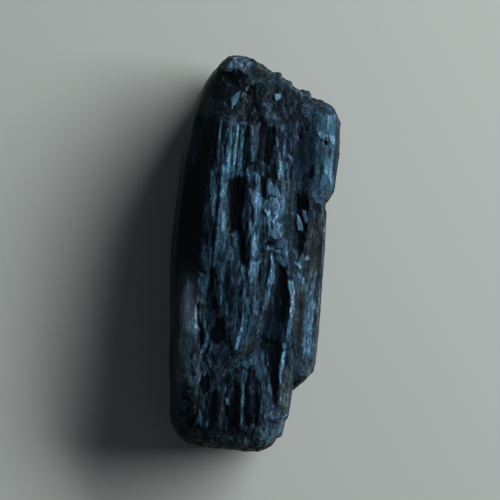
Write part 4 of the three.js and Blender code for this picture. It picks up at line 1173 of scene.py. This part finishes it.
def unrolled(points, normals):
    """Flat sheets over the crystal's sides, and how much each point belongs to each sheet. A sheet's x runs
    round the crystal and its y runs along it. The sheets of the back, the right and the left lie further
    out."""
    weights = np.abs(normals[:, [2, 0]]) ** 3
    weights /= weights.sum(axis=1, keepdims=True) + 1e-9
    across = points[:, 0] + BACK_SHEET * (normals[:, 2] < 0)
    upward = points[:, 2] + np.where(normals[:, 0] < 0, LEFT_SHEET, RIGHT_SHEET)
    front_or_back = np.stack([across, points[:, 1]], axis=1)
    flanks = np.stack([upward, points[:, 1]], axis=1)
    return ((front_or_back, weights[:, 0]), (flanks, weights[:, 1]))


# ---- the relief ----


def front_marks():
    """The marks of the front, with their lines in the mesh's own frame."""
    return [(name, strength, width, in_frame(line)) for name, strength, width, line in MARKS]


def hidden_marks():
    """Marks like those of the front for the sides that the drawing doesn't show, on their unrolled sheets."""
    dice = np.random.default_rng(HIDDEN_SEED)
    rows = []
    for start, low, high, count in HIDDEN_SHEETS:
        for _ in range(count):
            name = HIDDEN_COLOURS[dice.integers(len(HIDDEN_COLOURS))]
            x = start + dice.uniform(low, high)
            y = dice.uniform(*HIDDEN_SPAN)
            width = dice.uniform(*(NARROW_WIDTHS if dice.random() < NARROW_SHARE else WIDE_WIDTHS))
            length = width * dice.uniform(*HIDDEN_LENGTHS)
            bend = dice.uniform(*HIDDEN_BENDS, 2)
            line = [(x, y), (x + bend[0], y - length / 2), (x + bend[1], y - length)]
            rows.append((name, dice.uniform(*HIDDEN_STRENGTHS), width, np.array(line)))
    return rows


def mark_lifts(marks, places):
    """How far the marks raise each place."""
    lift = np.zeros(len(places))
    for name, strength, width, line in marks:
        depth, side = stroke_shares(places, width, line)
        height, lean = RISES[name]
        lift += strength * ramp(depth, 0, RISE_RIM) * (height - lean * side) * min(width, WIDEST_RISE)
    return lift


def patch_lifts(places):
    """How far the patches raise each place. A pale patch leans, so that its left edge stands out furthest."""
    lift = np.zeros(len(places))
    for name, strength, corners in PATCHES:
        across = in_frame(corners)[:, 0]
        size = min(np.ptp(across), WIDEST_RISE)
        height, lean = RISES[name]
        side = np.clip((places[:, 0] - across.mean()) / size, -0.5, 0.5)
        share = strength * patch_shares(places, corners, 1, 1)
        lift += share * (height - lean * side) * size * PATCH_RISE
    return lift


def front_lifts(points):
    """How far the marks, the patches and the small flat faces raise each point of the front."""
    places = frayed(points[:, :2])
    on_face, face_height = face_shares(points[:, :2])
    lift = mark_lifts(front_marks(), places) + patch_lifts(places)
    return lift + (face_height - lift) * on_face


def blade_relief(sheet):
    """The height of the blades and fibres over a flat sheet."""
    flow = bent(sheet)
    height = layered_creases(flow, "blades")
    flow[:, 1] += layered_noise(sheet, "flake ends")
    return height + layered_flakes(flow, "blades")


def end_relief(points):
    """How far the splinters of the broken ends stand out along the crystal."""
    places = points[:, [0, 2]]
    cross_section = shaken(places, "end shake")
    cross_section[:, 1] += layered_noise(places, "end shear")
    return layered_flakes(cross_section, "ends") + layered_noise(points, "end grain")


def relief_share(points, facing):
    """How much of the full relief each point gets, from 0 to 1."""
    smooth_places = [
        ("left", facing["left"]),
        ("shoulder", shoulder_share(points)),
        ("back", facing["back"]),
        ("smooth", smooth_share(points) * facing["front"]),
        ("face", face_shares(points[:, :2])[0] * facing["front"]),
    ]
    for middle, reach, _ in SWIRLS:
        smooth_places.append(("knot", knot_share(points[:, :2], middle, reach) * facing["front"]))
    return np.prod([1 - CALM[kind] * share for kind, share in smooth_places], axis=0)


def side_relief(points, normals, facing):
    """How far each point moves out of its own side."""
    share = relief_share(points, facing)
    grainy = grainy_share(points) * facing["front"]
    rise = np.zeros(len(points))
    for sheet, weight in unrolled(points, normals):
        grain = layered_flakes(shaken(sheet, "grain flakes"), "grain")
        rise += weight * ((1 - grainy) * blade_relief(sheet) + grainy * grain)
    rise *= share * (1 - facing["ends"])
    rise += layered_creases(points[:, [2, 1]], "flank") * facing["left"]
    return rise + layered_noise(points, "swell") + layered_noise(points, "bumps") * share


def roughened(points, normals):
    """The points moved to give the stone its blades, fibres, fractures and marks."""
    facing = facing_shares(points, normals)
    moved = points + normals * side_relief(points, normals, facing)[:, None]
    moved[:, 1] += end_relief(points) * facing["ends"] * np.sign(normals[:, 1])
    moved[:, 2] += front_lifts(points) * facing["front"]
    hidden = (1 - facing["front"]) * (1 - facing["ends"]) * (1 - FLANK_CALM * facing["left"])
    for sheet, weight in unrolled(points, normals):
        moved += normals * (weight * mark_lifts(hidden_marks(), frayed(sheet)) * hidden)[:, None]
    return moved


# ---- colour ----


class Paint:
    """Each point's colour and roughness, as layers are laid on them."""

    def __init__(self, count):
        self.colour = np.tile(np.array(COLOURS[GROUND]) * GROUND_SHARE, (count, 1))
        self.rough = np.full(count, ROUGHNESS["stone"])

    def lay(self, name, share):
        """Covers that share of each point with a colour."""
        self.colour += (np.array(COLOURS[name]) - self.colour) * share[:, None]

    def roughen(self, roughness, share):
        """Moves the roughness that share of the way to a new one."""
        self.rough += (roughness - self.rough) * share

    def lay_mark(self, name, share):
        """Covers that share of each point with a mark's or a patch's colour. The crisp ones are glossier."""
        self.lay(name, share)
        if name in CRISP:
            self.roughen(ROUGHNESS["dark"], share)

    def draw(self, marks, places, where):
        """Draws marks with feathered edges on the places, each place by its share in where."""
        feathers = FEATHERS + layered_noise(places, "feathers")
        for name, strength, width, line in marks:
            depth, _ = stroke_shares(places, width * MARK_SPREAD, line)
            rim = CRISP_RIM if name in CRISP else SILKY_RIM
            self.lay_mark(name, strength * ramp(depth - feathers, 0, rim) * where)

    def shade(self, logarithms):
        """Lightens or darkens the colours by the logarithms of the factors."""
        self.colour *= np.exp(logarithms)[:, None]


def wandering_colours(points, normals, facing, grainy):
    """The light and dark streaks, and how the hue wanders from place to place."""
    streaks = np.zeros(len(points))
    hues = np.zeros(len(points))
    for sheet, weight in unrolled(points, normals):
        flow = bent(sheet)
        hues += weight * layered_noise(flow, "hues")
        fibres = layered_noise(flow, "streaks")
        streaks += weight * ((1 - grainy) * fibres + grainy * layered_noise(sheet, "mottles"))
    streaks += (layered_noise(points, "speckles") - streaks) * facing["ends"]
    return streaks, hues * (1 - facing["ends"])


def streak_contrast(points, facing):
    """How strong the streaks of each point are, from 0 to 1."""
    contrast = 1 - QUIET["left"] * facing["left"] - QUIET["shoulder"] * shoulder_share(points)
    contrast *= 1 - QUIET["smooth"] * smooth_share(points) * facing["front"]
    return contrast * (1 - QUIET["face"] * face_shares(points[:, :2])[0] * facing["front"])


def painted(points, normals, slopes, crests):
    """Each point's colour and roughness, and its share of fine fibres. Slopes are how far each point's wide
    surroundings slope away from the front, and crests how far the point stands out of its near ones."""
    facing = facing_shares(points, normals)
    grainy = grainy_share(points) * facing["front"]
    streaks, hues = wandering_colours(points, normals, facing, grainy)
    contrast = streak_contrast(points, facing)
    places = frayed(points[:, :2])
    paint = Paint(len(points))
    # The hidden sides are painted darker, as painted shade.
    paint.colour *= 1 - HIDDEN_PAINTED_SHADE * (1 - facing["front"])[:, None]
    for name, strength, roughness, width, line in AREAS:
        depth, _ = stroke_shares(places, width * AREA_SPREAD, in_frame(line))
        share = strength * ramp(depth, 0, AREA_RIM) * facing["front"]
        paint.lay(name, share)
        paint.roughen(roughness, share)
    paint.shade(streaks * STREAK_CONTRAST * contrast)
    for name, strength, corners in PATCHES:
        paint.lay_mark(name, strength * patch_shares(places, corners, 0.5, 1) * facing["front"])
    paint.draw(front_marks(), places, facing["front"])
    for name, corners in FACES:
        share = patch_shares(points[:, :2], corners, 0.5, 0.5) * facing["front"]
        paint.lay(name, share)
        paint.roughen(ROUGHNESS["face"], share)
    for sheet, weight in unrolled(points, normals):
        paint.draw(hidden_marks(), frayed(sheet), weight * (1 - facing["front"]) * (1 - facing["ends"]))
    # Crests are painted lighter as painted highlight and troughs darker as painted shade.
    painted_crest_light = np.clip(crests * CREST_PAINTED_LIGHT_CONTRAST, *CREST_PAINTED_LIGHT_LIMITS)
    paint.shade((streaks * STREAK_CONTRAST + painted_crest_light) * contrast)
    paint.colour *= np.exp(np.outer(hues, HUE_SHIFT))
    # The left flank is painted black as painted shade, and its upper part gets a painted violet sheen.
    flank = facing["left"] * (1 - shoulder_share(points))
    paint.lay("ink", FLANK_PAINTED_SHADE * flank)
    paint.lay("violet", FLANK_PAINTED_SHEEN * ramp(deepest(points[:, :2], FLANK_SHEEN), 0, 1))
    paint.roughen(ROUGHNESS["flank"], flank)
    paint.roughen(ROUGHNESS["ends"], END_SHARE * facing["ends"])
    paint.roughen(ROUGHNESS["wall"], ramp(slopes, *WALL_SLOPES) * facing["front"] * (1 - WALL_GRAIN * grainy))
    return paint.colour, paint.rough, contrast


def store_looks(mesh, colour, rough, fibrous):
    """The colour, the roughness and the share of fine fibres, kept on the mesh for the material."""
    layer = mesh.color_attributes.new("stone_colour", "FLOAT_COLOR", "POINT")
    opaque = np.column_stack([colour, np.ones(len(colour))])
    layer.data.foreach_set("color", opaque.astype(np.float32).ravel())
    for name, values in (("stone_roughness", rough), ("stone_fibres", fibrous)):
        layer = mesh.attributes.new(name, "FLOAT", "POINT")
        layer.data.foreach_set("value", values.astype(np.float32))


def store_flow(mesh, points):
    """The places that the material's fine fibres are drawn at, in millimetres, kept on the mesh."""
    flow = np.column_stack([bent(points[:, :2]), points[:, 2]])
    from_middle = points[:, 1] - np.sign(points[:, 1]) * GRAIN_MIDDLE
    flow[:, 1] += GRAIN_STRETCH * grainy_share(points) * from_middle
    layer = mesh.attributes.new("stone_flow", "FLOAT_VECTOR", "POINT")
    layer.data.foreach_set("vector", flow.astype(np.float32).ravel())


# ---- the crystal ----


def eased_mesh():
    """The CAD crystal as an even mesh, with rounded worn edges and the front's gaps mostly filled, and the
    mesh's points."""
    mesh = remade_mesh()
    edges = read_edges(mesh)
    points = relaxed(read_points(mesh), edges, ROUNDS["mesh"])
    write_points(mesh, points)
    flank = facing_shares(points, read_normals(mesh, ROUNDS["sides"]))["left"]
    worn = np.maximum(flank, ramp(deepest(points[:, :2], ROUNDED), 0, ROUNDED_RIM))
    points += worn[:, None] * (relaxed(points, edges, ROUNDS["worn"]) - points)
    write_points(mesh, points)
    front = facing_shares(points, read_normals(mesh, ROUNDS["front"]))["front"]
    points[:, 2] += front * (levelled(points[:, 2:], edges)[:, 0] - points[:, 2])
    write_points(mesh, points)
    return mesh, points


def build_crystal():
    """The crystal's piece, with its looks kept on its mesh."""
    mesh, points = eased_mesh()
    normals = read_normals(mesh, ROUNDS["relief"])
    write_points(mesh, kept_inside(roughened(points, normals)))
    piece = bpy.data.objects.new("crystal", mesh)
    bpy.context.scene.collection.objects.link(piece)
    mesh = thinned(piece, normals[:, 2] > KEPT_RISE)
    piece.data = mesh
    mesh.shade_smooth()
    points = kept_inside(read_points(mesh))
    write_points(mesh, points)
    normals = read_normals(mesh, ROUNDS["looks"])
    crests = np.sum((points - relaxed(points, read_edges(mesh), ROUNDS["crests"])) * normals, axis=1)
    slopes = 1 - read_normals(mesh, ROUNDS["slopes"])[:, 2]
    store_looks(mesh, *painted(points, normals, slopes, crests))
    store_flow(mesh, points)
    print("crystal triangles", triangle_count(mesh))
    return piece


# ---- materials ----


# Fine fibres and flecks, too small for the mesh: their width and length, the detail in them, and how much
# they darken or lighten the stone. The flecks change its tint too, and the fibres stand out of the surface.
FIBRE_SIZE = (0.19, 1.3)
FIBRE_DETAIL = 2.0
FIBRE_CONTRAST = 3.4
FLECK_SIZE = (0.17, 0.34)
FLECK_DETAIL = 1.0
FLECK_CONTRAST = 2.6
TINT_CONTRAST = 0.45
NOISE_ROUGHNESS = 0.6
FIBRE_DEPTH = 0.04
BUMP_STRENGTH = 0.7

# Where the stone is grainy the fibres are shorter: each length there counts as this many lengths more. The
# grainy parts lie about this far from the crystal's middle.
GRAIN_STRETCH = 3.0
GRAIN_MIDDLE = 17.0

# The stone's sheen is weak and cool.
STONE_IOR = 1.30
SHEEN = (0.55, 0.82, 1.0, 1)

# The floor is matt and nearly white.
FLOOR_COLOUR = (0.575, 0.600, 0.560, 1)
FLOOR_ROUGHNESS = 0.9

# The two kinds of maths node.
SCALAR = "ShaderNodeMath"
VECTOR = "ShaderNodeVectorMath"


def stone_material():
    """The painted colours, streaked by fine fibres that also stand a little out of the surface."""
    material = bpy.data.materials.new("kyanite")
    material.use_nodes = True
    tree = material.node_tree
    surface = tree.nodes["Principled BSDF"]
    surface.inputs["IOR"].default_value = STONE_IOR
    surface.inputs["Specular Tint"].default_value = SHEEN

    def joined(kind, operation, *sources):
        """A maths node of that kind and operation over other sockets and plain numbers."""
        node = tree.nodes.new(kind)
        node.operation = operation
        for socket, source in zip(node.inputs, sources):
            if isinstance(source, bpy.types.NodeSocket):
                tree.links.new(source, socket)
            else:
                socket.default_value = source
        return node.outputs["Vector" if kind == VECTOR else "Value"]

    def stored(name, output):
        """What the mesh keeps under that name."""
        node = tree.nodes.new("ShaderNodeAttribute")
        node.attribute_name = name
        return node.outputs[output]

    def noise(size, detail):
        """Noise over the bent fibres' own places, in grains of that width and length."""
        node = tree.nodes.new("ShaderNodeTexNoise")
        node.inputs["Scale"].default_value = 1.0
        node.inputs["Detail"].default_value = detail
        node.inputs["Roughness"].default_value = NOISE_ROUGHNESS
        scale = (1 / size[0], 1 / size[1], 1 / size[0])
        places = joined(VECTOR, "MULTIPLY", stored("stone_flow", "Vector"), scale)
        tree.links.new(places, node.inputs["Vector"])
        return node

    def centred(factor, contrast):
        """Noise from 0 to 1, widened to that contrast about 0."""
        return joined(SCALAR, "MULTIPLY_ADD", factor, contrast, -0.5 * contrast)

    fibres = noise(FIBRE_SIZE, FIBRE_DETAIL)
    flecks = noise(FLECK_SIZE, FLECK_DETAIL)
    fibre_part = centred(fibres.outputs["Fac"], FIBRE_CONTRAST)
    fleck_part = centred(flecks.outputs["Fac"], FLECK_CONTRAST)
    both = joined(SCALAR, "ADD", fibre_part, fleck_part)
    power = joined(SCALAR, "MULTIPLY", both, stored("stone_fibres", "Fac"))
    factor = joined(SCALAR, "EXPONENT", power)
    grey = joined(VECTOR, "MULTIPLY", stored("stone_colour", "Color"), factor)
    tint = joined(VECTOR, "MULTIPLY", flecks.outputs["Color"], (TINT_CONTRAST,) * 3)
    tint = joined(VECTOR, "ADD", tint, (1 - 0.5 * TINT_CONTRAST,) * 3)
    tree.links.new(joined(VECTOR, "MULTIPLY", grey, tint), surface.inputs["Base Color"])
    tree.links.new(stored("stone_roughness", "Fac"), surface.inputs["Roughness"])
    bump = tree.nodes.new("ShaderNodeBump")
    bump.inputs["Strength"].default_value = BUMP_STRENGTH
    bump.inputs["Distance"].default_value = FIBRE_DEPTH * MM
    tree.links.new(fibres.outputs["Fac"], bump.inputs["Height"])
    tree.links.new(bump.outputs["Normal"], surface.inputs["Normal"])
    return material


def floor_material():
    material = bpy.data.materials.new("floor")
    material.use_nodes = True
    surface = material.node_tree.nodes["Principled BSDF"]
    surface.inputs["Base Color"].default_value = FLOOR_COLOUR
    surface.inputs["Roughness"].default_value = FLOOR_ROUGHNESS
    return material


# ---- the stage ----


# The photograph's view: straight down on the front, with the crystal's long axis leaning to the right.
VIEW_CENTRE = (0.38, 0.46)
VIEW_WIDTH = 53.0
VIEW_LEAN = 5.5
CAMERA_DISTANCE = 320.0
FRONT_HEIGHT = 9.0
SENSOR_WIDTH = 36.0

# The window stands to the upper right. Its panel's width and height are in millimetres, its power in watts.
WINDOW_PLACE = (315, 220, 205)
WINDOW_SIZE = (480, 130)
WINDOW_POWER = 3.0
WINDOW_COLOUR = (0.95, 0.98, 1.0)

# The room's own dim light, and how far the floor reaches from the crystal.
ROOM_COLOUR = (0.80, 0.88, 1.0, 1)
ROOM_STRENGTH = 0.05
FLOOR_REACH = 1000.0


def build_camera():
    camera = bpy.data.objects.new("camera", bpy.data.cameras.new("camera"))
    camera.data.sensor_width = SENSOR_WIDTH
    camera.data.lens = SENSOR_WIDTH * CAMERA_DISTANCE / VIEW_WIDTH
    camera.location = (
        (VIEW_CENTRE[0] - DRAWING_ORIGIN[0]) * MM,
        (VIEW_CENTRE[1] - DRAWING_ORIGIN[1]) * MM,
        (FRONT_HEIGHT + CAMERA_DISTANCE) * MM,
    )
    camera.rotation_euler = (0, 0, math.radians(VIEW_LEAN))
    bpy.context.scene.collection.objects.link(camera)
    bpy.context.scene.camera = camera


def build_window():
    """A panel light that faces the crystal."""
    light = bpy.data.lights.new("window", "AREA")
    light.shape = "RECTANGLE"
    light.size = WINDOW_SIZE[0] * MM
    light.size_y = WINDOW_SIZE[1] * MM
    light.energy = WINDOW_POWER
    light.color = WINDOW_COLOUR
    lamp = bpy.data.objects.new("window", light)
    lamp.location = [value * MM for value in WINDOW_PLACE]
    lamp.rotation_euler = (-lamp.location).to_track_quat("-Z", "Y").to_euler()
    bpy.context.scene.collection.objects.link(lamp)


def build_floor():
    mesh = bpy.data.meshes.new("floor")
    reach = FLOOR_REACH * MM
    corners = [(-reach, -reach, 0), (reach, -reach, 0), (reach, reach, 0), (-reach, reach, 0)]
    mesh.from_pydata(corners, [], [(0, 1, 2, 3)])
    mesh.materials.append(floor_material())
    floor = bpy.data.objects.new("floor", mesh)
    bpy.context.scene.collection.objects.link(floor)


def build_room():
    world = bpy.data.worlds.new("world")
    world.use_nodes = True
    background = world.node_tree.nodes["Background"]
    background.inputs["Color"].default_value = ROOM_COLOUR
    background.inputs["Strength"].default_value = ROOM_STRENGTH
    bpy.context.scene.world = world
    bpy.context.scene.view_settings.view_transform = "Standard"


build_camera()
build_floor()
build_room()
build_window()
crystal = build_crystal()
crystal.data.materials.clear()
crystal.data.materials.append(stone_material())
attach(crystal, "root")
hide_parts(NODE)
